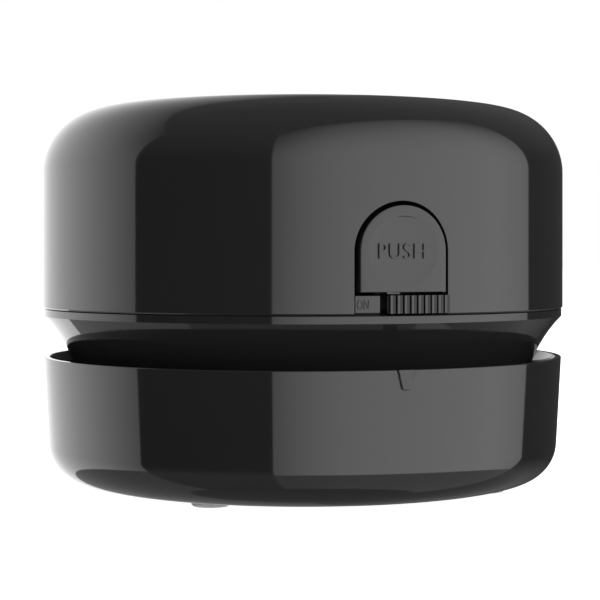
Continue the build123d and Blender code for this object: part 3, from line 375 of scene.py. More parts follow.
# %% Fibres
finish("bristle", moulded, (0.030, 0.030, 0.032), (0.065, 0.065, 0.07), 0.002 * mm,
       {"Scale": 900.0, "Roughness": 0.36, "Drift": 0.3})
finish("filter_fabric", woven, (0.66, 0.67, 0.66), (0.82, 0.83, 0.82), 0.06 * mm,
       {"Threads": 2600.0, "Fluff": 0.9, "Roughness": 0.95}, Sheen_Weight=0.25)

# %% [markdown]
# Metals: the drawn steel motor can and shaft, dull ferrite magnets, brass tabs, zinc-plated screws, nickel
# contacts and spring wire. They differ in colour, in line width and in how rough the lines are.

# %% Metals
finish("steel", drawn, (0.50, 0.50, 0.51), (0.62, 0.62, 0.63), 0.002 * mm,
       {"Along": 300.0, "Across": 7000.0, "Roughness": 0.34, "Drift": 0.3}, Metallic=1.0)
finish("magnet", moulded, (0.045, 0.045, 0.048), (0.075, 0.075, 0.08), 0.02 * mm,
       {"Scale": 3000.0, "Roughness": 0.62, "Drift": 0.3}, Metallic=0.4)
finish("brass_tab", drawn, (0.68, 0.50, 0.22), (0.80, 0.62, 0.30), 0.003 * mm,
       {"Along": 400.0, "Across": 9000.0, "Roughness": 0.32, "Drift": 0.25}, Metallic=1.0)
finish("screw_steel", drawn, (0.55, 0.55, 0.54), (0.70, 0.69, 0.66), 0.002 * mm,
       {"Along": 3000.0, "Across": 3500.0, "Roughness": 0.30, "Drift": 0.35}, Metallic=1.0)
finish("nickel", drawn, (0.60, 0.58, 0.54), (0.72, 0.70, 0.66), 0.002 * mm,
       {"Along": 2500.0, "Across": 5000.0, "Roughness": 0.27, "Drift": 0.25}, Metallic=1.0)
finish("spring_steel", drawn, (0.46, 0.46, 0.47), (0.60, 0.60, 0.61), 0.001 * mm,
       {"Along": 900.0, "Across": 4000.0, "Roughness": 0.25, "Drift": 0.2}, Metallic=1.0)

# %% [markdown]
# The cell wears a shrunk plastic sleeve, and the board is green solder mask over glass cloth, whose weave shows
# faintly through the lacquer.

# %% Cell sleeve and board
finish("cell_wrap", moulded, (0.03, 0.16, 0.42), (0.04, 0.20, 0.50), 0.01 * mm,
       {"Scale": 700.0, "Roughness": 0.26, "Drift": 0.15}, Coat_Weight=0.4, Coat_Roughness=0.12)
finish("board_green", woven, (0.012, 0.11, 0.045), (0.02, 0.16, 0.07), 0.01 * mm,
       {"Threads": 6000.0, "Fluff": 0.4, "Roughness": 0.32}, Coat_Weight=0.5, Coat_Roughness=0.15)
print(len(finishes), "finishes")

# %% [markdown]
# Every node of the frame names its slot, so one loop puts the finishes on all of them.

# %% Finishes on the frame's nodes
for name, node in nodes.items():
    for place in node.material_slots:
        wanted = place.material.name.split(".")[0]
        place.material = finishes[wanted]


def dress(obj, slot, body, *stands_for):
    """Finish, slot and body of a new piece, and the nodes it stands for."""
    obj.data.materials.clear()
    obj.data.materials.append(finishes[slot])
    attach(obj, body)
    if stands_for:
        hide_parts(*stands_for)
    return obj


# %% [markdown]
# ## Top cover
# On the real tool this is one deep moulding: a straight wall, a rounded shoulder and an almost flat dome, with an
# arched opening for the button. A Boolean would cut the arch out of a lathed shell, but its long thin faces would
# show as ripples in the gloss. Here the rows of the front panel start at the arch and relax towards a straight
# border, so the wall stays a true cylinder right up to the edge.

# %% Cover sizes
cover_wall = 2.0 * mm
crown = 1.4 * mm  # rise of the dome from its untrimmed edge to its middle
shoulder = 10.7 * mm
seam_edge = 0.2 * mm  # small slope at the lower edge
edge_round = 0.12 * mm
arch_half = 7.46 * mm
arch_spring_z = seam_z + 9.3 * mm
belt_top = arch_spring_z + 11.0 * mm  # upper border of the panels round the openings
panel_azimuth = 15.0
crown_r = (body_r ** 2 + crown ** 2) / (2 * crown)


def cover_r(z, inset):
    """Radius of the straight wall, with the slope at the seam on the outside only."""
    slope = 0.0 if inset else max(0.0, seam_z + seam_edge - z)
    return body_r - inset - slope


def dome(inset):
    """Outline of the shoulder and the dome, from the border of the panels to the middle."""
    centre_z = top_z - crown_r
    bend_r = body_r - shoulder
    bend_z = centre_z + math.sqrt((crown_r - shoulder) ** 2 - bend_r ** 2)
    end = math.atan2(bend_z - centre_z, bend_r)
    points = [(body_r - inset, z) for z in steps(belt_top, bend_z, 2)[:-1]]
    for turn in steps(0, end, 22):
        radius = shoulder - inset
        points.append((bend_r + radius * math.cos(turn), bend_z + radius * math.sin(turn)))
    edge_r = (crown_r - inset) * math.cos(end)
    for radius in steps(edge_r, 0, 18)[1:]:
        points.append((radius, centre_z + math.sqrt((crown_r - inset) ** 2 - radius ** 2)))
    return points


# %% [markdown]
# An opening is cut straight through the curved wall. Its outline is known in the flat view from the front or the
# back, with the direction that points away from the hole at each point.

# %% Openings in a curved wall
bevel_share = 0.29  # how far the middle point of a rounded edge stands in, as a share of its rounding


def opening_rows(outline, border, side, inset, rounding=0.0, rings=5):
    """Rows from the edge of a straight-cut opening to a border of (azimuth, height) points."""

    def on_wall(x, z, depth=0.0):
        return (x, side * (math.sqrt(cover_r(z, inset) ** 2 - x * x) - depth), z)

    rows = []
    shares = ((0.0, 1.0), (bevel_share, bevel_share), (1.0, 0.0)) if rounding else ((0.0, 0.0),)
    for out, deep in shares:
        rows.append(
            [on_wall(x + nx * out * rounding, z + nz * out * rounding, deep * rounding) for x, z, nx, nz in outline]
        )
    start = []
    for x, y, z in rows[-1]:
        azimuth = math.degrees(math.asin(x / cover_r(z, inset)))
        start.append((azimuth if side < 0 else 180 - azimuth, z))
    for ring in range(1, rings + 1):
        share = ring / rings
        row = []
        for (a0, z0), (a1, z1) in zip(start, border):
            azimuth, z = a0 + (a1 - a0) * share, z0 + (z1 - z0) * share
            row.append((*polar(cover_r(z, inset), azimuth), z))
        rows.append(row)
    return rows


# %% [markdown]
# The arch stands in a panel of the wall. The outline has as many points as the panel's border, so the rows
# between them relax evenly from the one to the other.

# %% The arch and its panel
foot_heights = [seam_z] + steps(seam_z + seam_edge, arch_spring_z, 8)
side_heights = steps(arch_spring_z, belt_top, 10)[1:]
panel_columns = steps(-panel_azimuth, panel_azimuth, round(2 * panel_azimuth / column_step))
arch_outline = [(-arch_half, z, 1.0, 0.0) for z in foot_heights]
round_count = 2 * len(side_heights) + len(panel_columns) - 1
for turn in steps(math.pi, 0, round_count)[1:]:
    away = (math.cos(turn), math.sin(turn))
    arch_outline.append((arch_half * away[0], arch_spring_z + arch_half * away[1], -away[0], -away[1]))
arch_outline += [(arch_half, z, -1.0, 0.0) for z in reversed(foot_heights[:-1])]
arch_outline = [(x, z, -nx, -nz) for x, z, nx, nz in arch_outline]
panel_border = [(-panel_azimuth, z) for z in foot_heights + side_heights]
panel_border += [(azimuth, belt_top) for azimuth in panel_columns[1:]]
panel_border += [(panel_azimuth, z) for z in reversed((foot_heights + side_heights)[:-1])]
print("arch", len(arch_outline), "points, border", len(panel_border))

# %% [markdown]
# The back has a slot for the charging plug and a round hole for its light. Both are seen from the middle of
# their panel: each border point is paired with the point of the outline in the same direction.

# %% The openings at the back
light_from, socket_from, socket_to = 162.0, 171.0, 189.0
belt_columns = {"light": (light_from, socket_from), "socket": (socket_from, socket_to)}
socket_low, socket_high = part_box("charge_socket")
socket_gap = 0.15 * mm
light_x = (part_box("charge_light_pipe")[0].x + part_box("charge_light_pipe")[1].x) / 2
light_r = 1.15 * mm
socket_z = (socket_low.z + socket_high.z) / 2


def round_border(azimuth_from, azimuth_to):
    """Closed border of a panel at the back, round from its lower left corner."""
    across = steps(azimuth_from, azimuth_to, round((azimuth_to - azimuth_from) / column_step))
    up = [arch_spring_z] + side_heights
    border = [(azimuth_from, z) for z in up[:-1]] + [(a, belt_top) for a in across[:-1]]
    return border + [(azimuth_to, z) for z in reversed(up[1:])] + [(a, arch_spring_z) for a in reversed(across[1:])]


def slot_outline(border, x, z, half, radius):
    """Points of a slot with round ends in the directions of the border's points."""
    outline = []
    for azimuth, height in border:
        to_x, to_z = body_r * math.sin(math.radians(azimuth)) - x, height - z
        length = math.hypot(to_x, to_z)
        ux, uz = to_x / length, to_z / length
        straight = half - radius
        reach = radius / abs(uz) if abs(uz) > 1e-9 else 10.0
        middle = max(-straight, min(straight, ux * reach))
        if abs(ux * reach) > straight:
            along = ux * middle
            reach = along + math.sqrt(along * along - middle * middle + radius * radius)
        px, pz = ux * reach, uz * reach
        away = Vector((px - middle, pz)).normalized()
        outline.append((x + px, z + pz, away.x, away.y))
    return outline


# %% Cover assembly
outer_rows, inner_rows = {}, {}
borders = {name: round_border(*ends) for name, ends in belt_columns.items()}
socket_half, socket_round = (socket_high.x - socket_low.x) / 2, (socket_high.z - socket_low.z) / 2
outlines = {
    "light": slot_outline(borders["light"], light_x, socket_z, light_r, light_r),
    "socket": slot_outline(borders["socket"], 0.0, socket_z, socket_half + socket_gap, socket_round + socket_gap),
}
outer_rows["arch"] = opening_rows(arch_outline, panel_border, -1, 0.0, edge_round)
inner_rows["arch"] = opening_rows(arch_outline, panel_border, -1, cover_wall)
for name in borders:
    outer_rows[name] = opening_rows(outlines[name], borders[name], 1, 0.0, edge_round)
    inner_rows[name] = opening_rows(outlines[name], borders[name], 1, cover_wall)
cover_skins = []
for name in outer_rows:
    closed = name != "arch"
    cover_skins.append(skin(outer_rows[name], closed))
    cover_skins.append(skin(inner_rows[name], closed))
    cover_skins.append(skin([outer_rows[name][0], inner_rows[name][0]], closed))


def belt(azimuth_from, azimuth_to, heights, inset):
    """Plain stretch of the straight wall."""
    columns = steps(azimuth_from, azimuth_to, round((azimuth_to - azimuth_from) / column_step))
    return skin([[(*polar(cover_r(z, inset), a), z) for a in columns] for z in heights])


for inset in (0.0, cover_wall):
    cover_skins.append(belt(panel_azimuth, light_from, foot_heights + side_heights, inset))
    cover_skins.append(belt(light_from, socket_to, foot_heights, inset))
    cover_skins.append(belt(socket_to, 360 - panel_azimuth, foot_heights + side_heights, inset))
    cover_skins.append(skin([[(*polar(r, a), z) for a in all_columns] for r, z in dome(inset)], closed=True))

# %% [markdown]
# A flat lower edge closes the shell, from the arch's right foot round the back to its left foot. The outer rows
# have two more points at each foot, for the rounded edge of the arch, so the inner ends are repeated.

# %% Lower edge of the cover
seam_columns = steps(panel_azimuth, 360 - panel_azimuth, round((360 - 2 * panel_azimuth) / column_step))[1:-1]
edge_outer = [row[-1] for row in outer_rows["arch"]]
edge_outer += [(*polar(cover_r(seam_z, 0.0), a), seam_z) for a in seam_columns]
edge_outer += [row[0] for row in reversed(outer_rows["arch"])]
spare = len(outer_rows["arch"]) - len(inner_rows["arch"])
edge_inner = [inner_rows["arch"][0][-1]] * spare + [row[-1] for row in inner_rows["arch"]]
edge_inner += [(*polar(cover_r(seam_z, cover_wall), a), seam_z) for a in seam_columns]
edge_inner += [row[0] for row in reversed(inner_rows["arch"])] + [inner_rows["arch"][0][0]] * spare
cover_skins.append(skin([edge_outer, edge_inner]))
cover_shells = [cover_skins]

# %% [markdown]
# Four screw bosses hang from the dome. They are tubes with a blind hole, sunk a little into the shell.

# %% Cover bosses
boss_inset, boss_sunk = 9.5 * mm, 0.3 * mm
boss_ring = body_r - cover_wall - boss_inset
boss_r, boss_hole_r, boss_hole_z = 2.6 * mm, 1.0 * mm, boss_foot_z + 8.0 * mm
boss_top = top_z - cover_wall + boss_sunk
boss_outline = [
    (boss_hole_r, boss_foot_z), (boss_r, boss_foot_z), (boss_r, boss_top), (0.0, boss_top),
    (0.0, boss_hole_z), (boss_hole_r, boss_hole_z),
]
for azimuth in (40, 100, -40, -100):
    cover_shells.append([turned(boss_outline, polar(boss_ring, azimuth), steps(0, 345, 23))])
dress(piece("cover_shell", cover_shells), "gloss_black", "motor_unit", "top_cover")

# %% [markdown]
# ## Dust bowl
# The bowl is a low open pot with a drafted wall, a generous round at its foot and a thin rim. Inside it stand the
# seat ring for the fan unit and eight gussets. One closed outline, turned round the axis, gives pot and ring.

# %% Bowl outline
bowl_draft = 1.15 * mm
bowl_fillet, inner_fillet = 6.5 * mm, 4.8 * mm
bowl_wall = 1.6 * mm
bowl_floor = 2.0 * mm
rim_width, rim_taper = 1.0 * mm, 2.2 * mm
rim_round = 0.18 * mm
seat_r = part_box("fan_housing")[1].x
seat_wall = 1.4 * mm
seat_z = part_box("seal_ring")[0].z
floor_z = bowl_z + bowl_floor
foot_z = bowl_z - 0.2 * mm
nozzle_flange = 1.8 * mm
mouth_hole_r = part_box("intake_nozzle")[1].x - nozzle_flange


def bowl_r(z):
    """Radius of the bowl's drafted wall at a height."""
    return bowl_rim_r - bowl_draft * (rim_z - z) / (rim_z - bowl_z)


taper_z = rim_z - rim_taper
bowl_outline = rounded([
    (mouth_hole_r, foot_z, 0), (bowl_r(foot_z), foot_z, bowl_fillet),
    (bowl_rim_r, rim_z, rim_round), (bowl_rim_r - rim_width, rim_z, rim_round),
    (bowl_r(taper_z) - bowl_wall, taper_z, 0), (bowl_r(floor_z) - bowl_wall, floor_z, inner_fillet),
    (seat_r, floor_z, 0), (seat_r, seat_z, 0), (seat_r - seat_wall, seat_z, 0),
    (seat_r - seat_wall, floor_z, 0), (mouth_hole_r, floor_z, 0),
])
print("bowl outline", len(bowl_outline), "points")

# %% [markdown]
# Tongues, ribs and plates are bars: one outline in two or more places, with a face at each end. A sector sweeps
# its outline round the axis, so it follows the wall. A cube that is bent with a modifier would do as well, but
# then its ends have to be placed by hand.

# %% Bars and blocks


def bar(sections):
    """Closed skin through sections of equally many points, with a face at each end."""
    points, faces = skin(sections, closed=True)
    count = len(sections[0])
    return points, faces + [tuple(range(count)), tuple(range(len(points) - count, len(points)))]


def sector(outline, azimuth_from, azimuth_to, count=6):
    """Closed skin of an outline of (radius, height) swept along a stretch of a ring."""
    return bar([[(*polar(r, a), z) for r, z in outline] for a in steps(azimuth_from, azimuth_to, count)])


def rectangle(left, right, low, high):
    """Outline of a rectangle."""
    return [(left, low), (right, low), (right, high), (left, high)]


def block(r_from, r_to, azimuth_from, azimuth_to, z_from, z_to, count=6):
    """Closed skin of a plain block that follows a stretch of a ring."""
    return sector(rectangle(r_from, r_to, z_from, z_to), azimuth_from, azimuth_to, count)


# %% [markdown]
# The pointer shows where the button's hook bites. It is a flat wedge on the wall, wide at the rim and narrow at
# its foot, with rounded lower corners and a small bevel round its face, which draws its outline in the gloss.

# %% Pointer
pointer_top, pointer_foot, pointer_length = 2.8 * mm, 1.1 * mm, 3.0 * mm
pointer_face_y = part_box("dust_bowl")[0].y
pointer_z = rim_z - pointer_length
pointer_x, pointer_round, pointer_bevel = 0.5 * mm, 0.25 * mm, 0.13 * mm


def pointer_outline(y, inset=0.0):
    """The pointer's outline at a depth, drawn in by the inset."""
    top, foot = pointer_top / 2 - inset, pointer_foot / 2 - inset
    outline = rounded([
        (pointer_x - top, rim_z, 0), (pointer_x - foot, pointer_z + inset, pointer_round),
        (pointer_x + foot, pointer_z + inset, pointer_round), (pointer_x + top, rim_z, 0),
    ])
    return [(x, y, z) for x, z in outline]


pointer = bar([
    pointer_outline(-bowl_r(pointer_z) + bowl_wall / 2), pointer_outline(pointer_face_y + pointer_bevel),
    pointer_outline(pointer_face_y, pointer_bevel),
])

# %% [markdown]
# Behind the pointer stands the tongue that the hook catches. Its window is left open between four blocks, and a
# foot joins it to the seat ring. Eight thin gussets stiffen the floor round the ring.

# %% Catch tongue and gussets
tongue_r, tongue_thick, tongue_turn = seat_r + 0.5 * mm, 1.6 * mm, 6.0
tongue_top_z, tongue_root_z = rim_z - 2.6 * mm, floor_z - 0.5 * mm
seat_step = 0.6 * mm
window_half, window_top_z = 2.9 * mm, tongue_top_z - 0.7 * mm
window_z = window_top_z - 2.4 * mm
window_turn = math.degrees(math.asin(window_half / tongue_r))
tongue = (tongue_r, tongue_r + tongue_thick)
bowl_shells = [
    [turned(bowl_outline)],
    [pointer],
    [block(*tongue, -tongue_turn, tongue_turn, tongue_root_z, window_z)],
    [block(*tongue, -tongue_turn, -window_turn, window_z, window_top_z)],
    [block(*tongue, window_turn, tongue_turn, window_z, window_top_z)],
    [block(*tongue, -tongue_turn, tongue_turn, window_top_z, tongue_top_z)],
    [block(seat_r - seat_wall / 2, tongue_r, -tongue_turn, tongue_turn, floor_z, seat_z - seat_step)],
]
gusset_count, gusset_half, gusset_top = 8, 0.9, 5.6 * mm
gusset_from, gusset_to = seat_r - 0.7 * mm, 41.0 * mm
for k in range(gusset_count):
    middle = (k + 0.5) * 360 / gusset_count
    sweep = (middle - gusset_half, middle + gusset_half)
    bowl_shells.append([block(gusset_from, gusset_to, *sweep, floor_z, gusset_top, 2)])
dress(piece("bowl_shell", bowl_shells), "gloss_black", "dust_bowl", "dust_bowl")

# %% [markdown]
# ## Release button
# The button fills the arch with an even gap. Its face follows the cover but stands a little proud, and a round
# dish takes the finger tip. Rows of points run from the middle of the dish out to the arch, so the dish stays
# round and the outline crisp.

# %% Button face
button_gap, button_rise = 0.6 * mm, 0.55 * mm
button_half, button_r = arch_half - button_gap, body_r + button_rise
button_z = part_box("release_button")[0].z
button_back_y = -(body_r - 4.4 * mm)
dish_z = arch_spring_z + 0.1 * mm
dish_r, dish_depth = 5.2 * mm, 0.42 * mm
dish_edge, edge_width = 0.09 * mm, 0.68 * mm
button_round = 0.15 * mm
foot_count, side_count, arch_count = 22, 10, 56


def face_y(x):
    """The button's face where it follows the cover."""
    return -math.sqrt(button_r ** 2 - x * x)


def dish_y(x, z):
    """The face with its dish: a shallow hollow whose edge has a small soft step."""
    distance = math.hypot(x, z - dish_z)
    hollow = max(0.0, 1 - (distance / dish_r) ** 2)
    step = min(1.0, max(0.0, (dish_r + edge_width / 2 - distance) / edge_width))
    return face_y(x) + dish_depth * hollow + dish_edge * step * step * (3 - 2 * step)


button_outline = [(x, button_z, 0.0, -1.0) for x in steps(-button_half, button_half, foot_count)[:-1]]
button_outline += [(button_half, z, 1.0, 0.0) for z in steps(button_z, arch_spring_z, side_count)[:-1]]
for turn in steps(0, math.pi, arch_count)[:-1]:
    away = (math.cos(turn), math.sin(turn))
    button_outline.append((button_half * away[0], arch_spring_z + button_half * away[1], *away))
button_outline += [(-button_half, z, -1.0, 0.0) for z in steps(arch_spring_z, button_z, side_count)[:-1]]

# %% [markdown]
# The corners at the foot belong to two sides at once, so their outward direction is the diagonal between both.

# %% Button mesh
corner = {0: (-1.0, -1.0), foot_count: (1.0, -1.0)}
button_outline = [(x, z, *corner.get(k, (nx, nz))) for k, (x, z, nx, nz) in enumerate(button_outline)]
edge_from, edge_to = dish_r - edge_width / 2, dish_r + edge_width / 2
button_rows = [[(0.0, dish_y(0.0, dish_z), dish_z)] * len(button_outline)]
directions = []
for x, z, nx, nz in button_outline:
    length = math.hypot(x, z - dish_z)
    directions.append((x / length, (z - dish_z) / length))
for distance in steps(0, edge_from, 10)[1:] + steps(edge_from, edge_to, 5)[1:]:
    ring = [(ux * distance, dish_z + uz * distance) for ux, uz in directions]
    button_rows.append([(x, dish_y(x, z), z) for x, z in ring])
edge_row = button_rows[-1]
inner_edge = [(x - nx * button_round, z - nz * button_round) for x, z, nx, nz in button_outline]
for share in steps(0, 1, 3)[1:]:
    flat = [(x0 + (x1 - x0) * share, z0 + (z1 - z0) * share) for (x0, y, z0), (x1, z1) in zip(edge_row, inner_edge)]
    button_rows.append([(x, face_y(x), z) for x, z in flat])
for inset, depth in ((bevel_share, bevel_share), (0.0, 1.0)):
    row = []
    for x, z, nx, nz in button_outline:
        x, z = x - nx * inset * button_round, z - nz * inset * button_round
        row.append((x, face_y(x) + depth * button_round, z))
    button_rows.append(row)
button_rows.append([(x, button_back_y, z) for x, z, nx, nz in button_outline])
button_rows.append([(0.0, button_back_y, dish_z)] * len(button_outline))
button_shells = [[skin(button_rows, closed=True)]]

# %% [markdown]
# Behind the wall the button has a lip that keeps it from falling out, and a boss that pushes the latch arm. The
# lip slopes back steeply under the gap, and a slanted skirt runs on below the face, behind the switch. Light that
# enters the gap is thrown aside by these slopes, so the gap stays black. A short nub under the face spaces it.

# %% Button lip and boss


def prism(outline, y_from, y_to):
    """Closed skin of an outline of (x, height) pulled straight along Y."""
    return bar([[(x, y, z) for x, z in outline] for y in (y_from, y_to)])


lip_width, lip_gap, lip_dip = 1.5 * mm, 0.3 * mm, 0.2 * mm
lip_half, lip_r = button_half + lip_width, body_r - cover_wall - lip_gap
lip_outline = [(-lip_half, button_z), (lip_half, button_z)]
for turn in steps(0, math.pi, 32):
    lip_outline.append((lip_half * math.cos(turn), arch_spring_z + lip_half * math.sin(turn)))
lip_flat = 6.4 * mm  # half width of the lip's flat middle, hidden behind the face
lip_edge = 0.1 * mm
lip_bend = []
for x, z in lip_outline:
    share = lip_flat / max(math.hypot(x, max(0.0, z - arch_spring_z)), lip_flat)
    bend_z = z if z <= arch_spring_z else arch_spring_z + (z - arch_spring_z) * share
    lip_bend.append((x * share, lip_dip - math.sqrt(lip_r ** 2 - (x * share) ** 2), bend_z))
lip_front = [(x, button_back_y - lip_edge, z) for x, z in lip_outline]
lip_back = [(x, button_back_y, z) for x, z in lip_outline]
lip_middle = [[(0.0, y, arch_spring_z)] * len(lip_outline) for y in (lip_dip - lip_r, button_back_y)]
button_shells.append([skin([lip_middle[0], lip_bend, lip_front, lip_back, lip_middle[1]], closed=True)])
rod_half, rod_z, rod_height = 3.0 * mm, button_z + 2.6 * mm, 7.0 * mm
rod_outline = rectangle(-rod_half, rod_half, rod_z, rod_z + rod_height)
button_shells.append([prism(rod_outline, button_back_y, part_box("latch_arm")[0].y)])
skirt_half, skirt_z, skirt_y = button_half - 0.4 * mm, button_z - 0.6 * mm, button_back_y - 0.3 * mm
skirt_lean, skirt_thick = 0.9 * mm, 0.6 * mm
foot_y = skirt_y + skirt_lean
skirt_plan = [(foot_y, skirt_z), (foot_y + skirt_thick, skirt_z), (foot_y, rod_z), (skirt_y, rod_z)]
button_shells.append([bar([[(x, y, z) for y, z in skirt_plan] for x in (-skirt_half, skirt_half)])])
nub_left, nub_right, nub_drop = -2.78 * mm, -0.79 * mm, 0.2 * mm
nub_outline = rectangle(nub_left, nub_right, button_z - nub_drop, button_z + 2 * nub_drop)
button_shells.append([prism(nub_outline, button_back_y, face_y(nub_left))])

# %% [markdown]
# The word on the button stands up from the dish. A text object gives the letters: it is extruded, turned to
# face the front, made a mesh, and bent so that its back follows the dish.

# %% Raised lettering
capital_share = 0.69  # height of a capital in the built-in font, as a share of its size


def frozen(obj):
    """Plain mesh of an object as its modifiers or its text make it; the object goes."""
    bpy.context.view_layer.update()
    graph = bpy.context.evaluated_depsgraph_get()
    mesh = bpy.data.meshes.new_from_object(obj.evaluated_get(graph))
    bpy.data.objects.remove(obj)
    return mesh


def lettering(name, words, height, thickness, x, z, spacing=1.0, slim=0.0, squeeze=1.0):
    """Mesh of raised letters facing the front, their backs on the plane y = 0."""
    text = bpy.data.curves.new(name, "FONT")
    text.body = words
    text.align_x, text.align_y = "CENTER", "CENTER"
    text.size = height / capital_share
    text.space_character = spacing
    text.offset = -slim
    text.extrude = thickness / 2
    text.resolution_u = 6
    mesh = frozen(linked(name, text))
    middle = (max(v.co.y for v in mesh.vertices) + min(v.co.y for v in mesh.vertices)) / 2
    for vertex in mesh.vertices:
        side, up, depth = vertex.co
        vertex.co = (x + side * squeeze, -depth - thickness / 2, z + up - middle)
    work = bmesh.new()
    work.from_mesh(mesh)
    bmesh.ops.remove_doubles(work, verts=work.verts, dist=weld / 2)
    bmesh.ops.recalc_face_normals(work, faces=work.faces)
    return finished_mesh(name, work)


word_x, push_height, push_thick, push_squeeze = -0.36 * mm, 2.35 * mm, 1.0 * mm, 0.885
push = lettering("push_word", "PUSH", push_height, push_thick, word_x, dish_z, 1.12, 0.06 * mm, push_squeeze)
letter_rise, letter_root = 0.34 * mm, 0.3 * mm
for vertex in push.vertices:
    front = vertex.co.y < -push_thick / 2
    vertex.co.y = dish_y(vertex.co.x, vertex.co.z) + (-letter_rise if front else letter_root)
dress(piece("button_cap", button_shells), "gloss_black", "release_button", "release_button")
dress(shaded(push, "push_word", 30), "gloss_black", "release_button")

# %% [markdown]
# ## What repeats
# Ribs, fan blades, screws, bristles and coils are one shape many times over. Copying by hand or by a loop of
# mesh code works, but then the numbers hide in the mesh. A Geometry Nodes tree keeps them as named inputs: it
# places copies of the shape that comes in, makes them real and gives them their material. Its result is turned
# into a plain mesh, because every finished piece has to be one.

# %% Geometry Nodes helpers


def geometry_tree(name, inputs):
    """Empty tree with a Geometry socket at each end, number inputs with their defaults, and a material input."""
    tree = bpy.data.node_groups.new(name, "GeometryNodeTree")
    tree.interface.new_socket("Geometry", in_out="INPUT", socket_type="NodeSocketGeometry")
    for label, value in inputs.items():
        kind = "NodeSocketInt" if isinstance(value, int) else "NodeSocketFloat"
        tree.interface.new_socket(label, in_out="INPUT", socket_type=kind).default_value = value
    tree.interface.new_socket("Material", in_out="INPUT", socket_type="NodeSocketMaterial")
    tree.interface.new_socket("Geometry", in_out="OUTPUT", socket_type="NodeSocketGeometry")
    return tree, tree.nodes.new("NodeGroupInput").outputs


def make_real(tree, given, geometry):
    """Ends a tree: copies become mesh and get the material."""
    real = add(tree, "GeometryNodeRealizeInstances", {0: geometry})
    painted = add(tree, "GeometryNodeSetMaterial", {"Geometry": real.outputs[0], "Material": given["Material"]})
    end = tree.nodes.new("NodeGroupOutput")
    tree.links.new(painted.outputs[0], end.inputs[0])


def copy_angle(tree, given):
    """Angle of each copy in radians: First and as many Steps as its number."""
    number = add(tree, "GeometryNodeInputIndex").outputs[0]
    return calc(tree, "RADIANS", calc(tree, "MULTIPLY_ADD", number, given["Step"], given["First"]))


def set_copies(tree, given, points, copies):
    """Ends a tree with a copy on each point; points and copies are inputs of their nodes."""
    places = add(tree, "GeometryNodePoints", points)
    spread = {"Points": places.outputs[0], "Instance": given["Geometry"], **copies}
    make_real(tree, given, add(tree, "GeometryNodeInstanceOnPoints", spread).outputs[0])
    print(tree.name, "has", len(tree.nodes), "nodes")


def grow(name, tree, slot, start, **values):
    """Plain mesh that a tree makes from a start mesh; a value's name is its input's."""
    obj = linked(name, start)
    rule = obj.modifiers.new(name, "NODES")
    rule.node_group = tree
    wanted = {**values, "Material": finishes[slot]}
    for socket in tree.interface.items_tree:
        if socket.in_out == "INPUT" and socket.name in wanted:
            rule[socket.identifier] = wanted[socket.name]
    mesh = frozen(obj)
    print(name, "grew to", len(mesh.polygons), "faces")
    return mesh


# %% [markdown]
# The first tree puts copies on a ring. The shape is modelled at the front, where it belongs, and each copy is
# only turned round the upright axis. Radius and height never have to be named again.

# %% Copies on a ring
on_ring, given = geometry_tree("copies on a ring", {"Count": 8, "First": 0.0, "Step": 45.0})

spin = vector(on_ring, 0.0, 0.0, copy_angle(on_ring, given))
set_copies(on_ring, given, {"Count": given["Count"]}, {"Rotation": spin})

# %% [markdown]
# The second tree sets copies along an arc but lets them all face the same way, as ribs must that leave a mould
# in one pull. Its shape is modelled at the origin.

# %% Copies along an arc
row_sizes = {"Count": 9, "First": 0.0, "Step": 1.5, "Radius": 45.0 * mm, "Facing": 0.0}
in_row, given = geometry_tree("copies along an arc", row_sizes)
angle = copy_angle(in_row, given)
across = calc(in_row, "MULTIPLY", calc(in_row, "SINE", angle), given["Radius"])
away = calc(in_row, "MULTIPLY", given["Radius"], -1.0)
place = vector(in_row, across, calc(in_row, "MULTIPLY", calc(in_row, "COSINE", angle), away))
spin = vector(in_row, 0.0, 0.0, calc(in_row, "RADIANS", given["Facing"]))
set_copies(in_row, given, {"Count": given["Count"], "Position": place}, {"Rotation": spin})

# %% [markdown]
# ## Slide switch
# The knob's grip is nine ribs. Beside each runs a lower ramp, and between ramp and next rib a deep, narrow slot.
# In a mirror finish that gives a bright line, a grey one and a black one. Ribs and ramps come from the second
# tree, the plate and the forked stem from swept blocks.

# %% Knob


def pillar(outline, z_from, z_to):
    """Closed skin of an outline of (x, y) pulled straight up."""
    return bar([[(x, y, z) for x, y in outline] for z in (z_from, z_to)])


knob_low, knob_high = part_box("switch_knob")[0].z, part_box("switch_knob")[1].z
rib_height, rib_floor_r = 0.75 * mm, 44.5 * mm
rib_step, rib_first, rib_facing = 1.427, -3.35, 2.9
rib_width, ramp_end, slot_end = 0.42 * mm, 0.87 * mm, 0.25 * mm
ramp_low, ramp_high = 0.43 * mm, 0.68 * mm
rib_edge = 0.03 * mm
rib_plan = [
    (0.0, -slot_end), (0.0, rib_height - rib_edge), (rib_edge, rib_height), (rib_width, rib_height),
    (rib_width, ramp_low), (ramp_end, ramp_high), (ramp_end, -slot_end),
]
rib = shape("rib", [pillar([(across, -out) for across, out in rib_plan], knob_low, knob_high)])
ribs = grow("knob_ribs", in_row, "gloss_black", rib, Count=9, First=rib_first, Step=rib_step,
            Radius=rib_floor_r, Facing=rib_facing)
knob_from, knob_to = -3.5, 9.3
knob_back_r, knob_edge = body_r + 0.15 * mm, 0.1 * mm
knob_plate = [
    (knob_back_r, knob_low), (rib_floor_r - knob_edge, knob_low), (rib_floor_r, knob_low + knob_edge),
    (rib_floor_r, knob_high - knob_edge), (rib_floor_r - knob_edge, knob_high), (knob_back_r, knob_high),
]

# %% [markdown]
# Its stem reaches through the track and takes the lever of the switch in its fork.

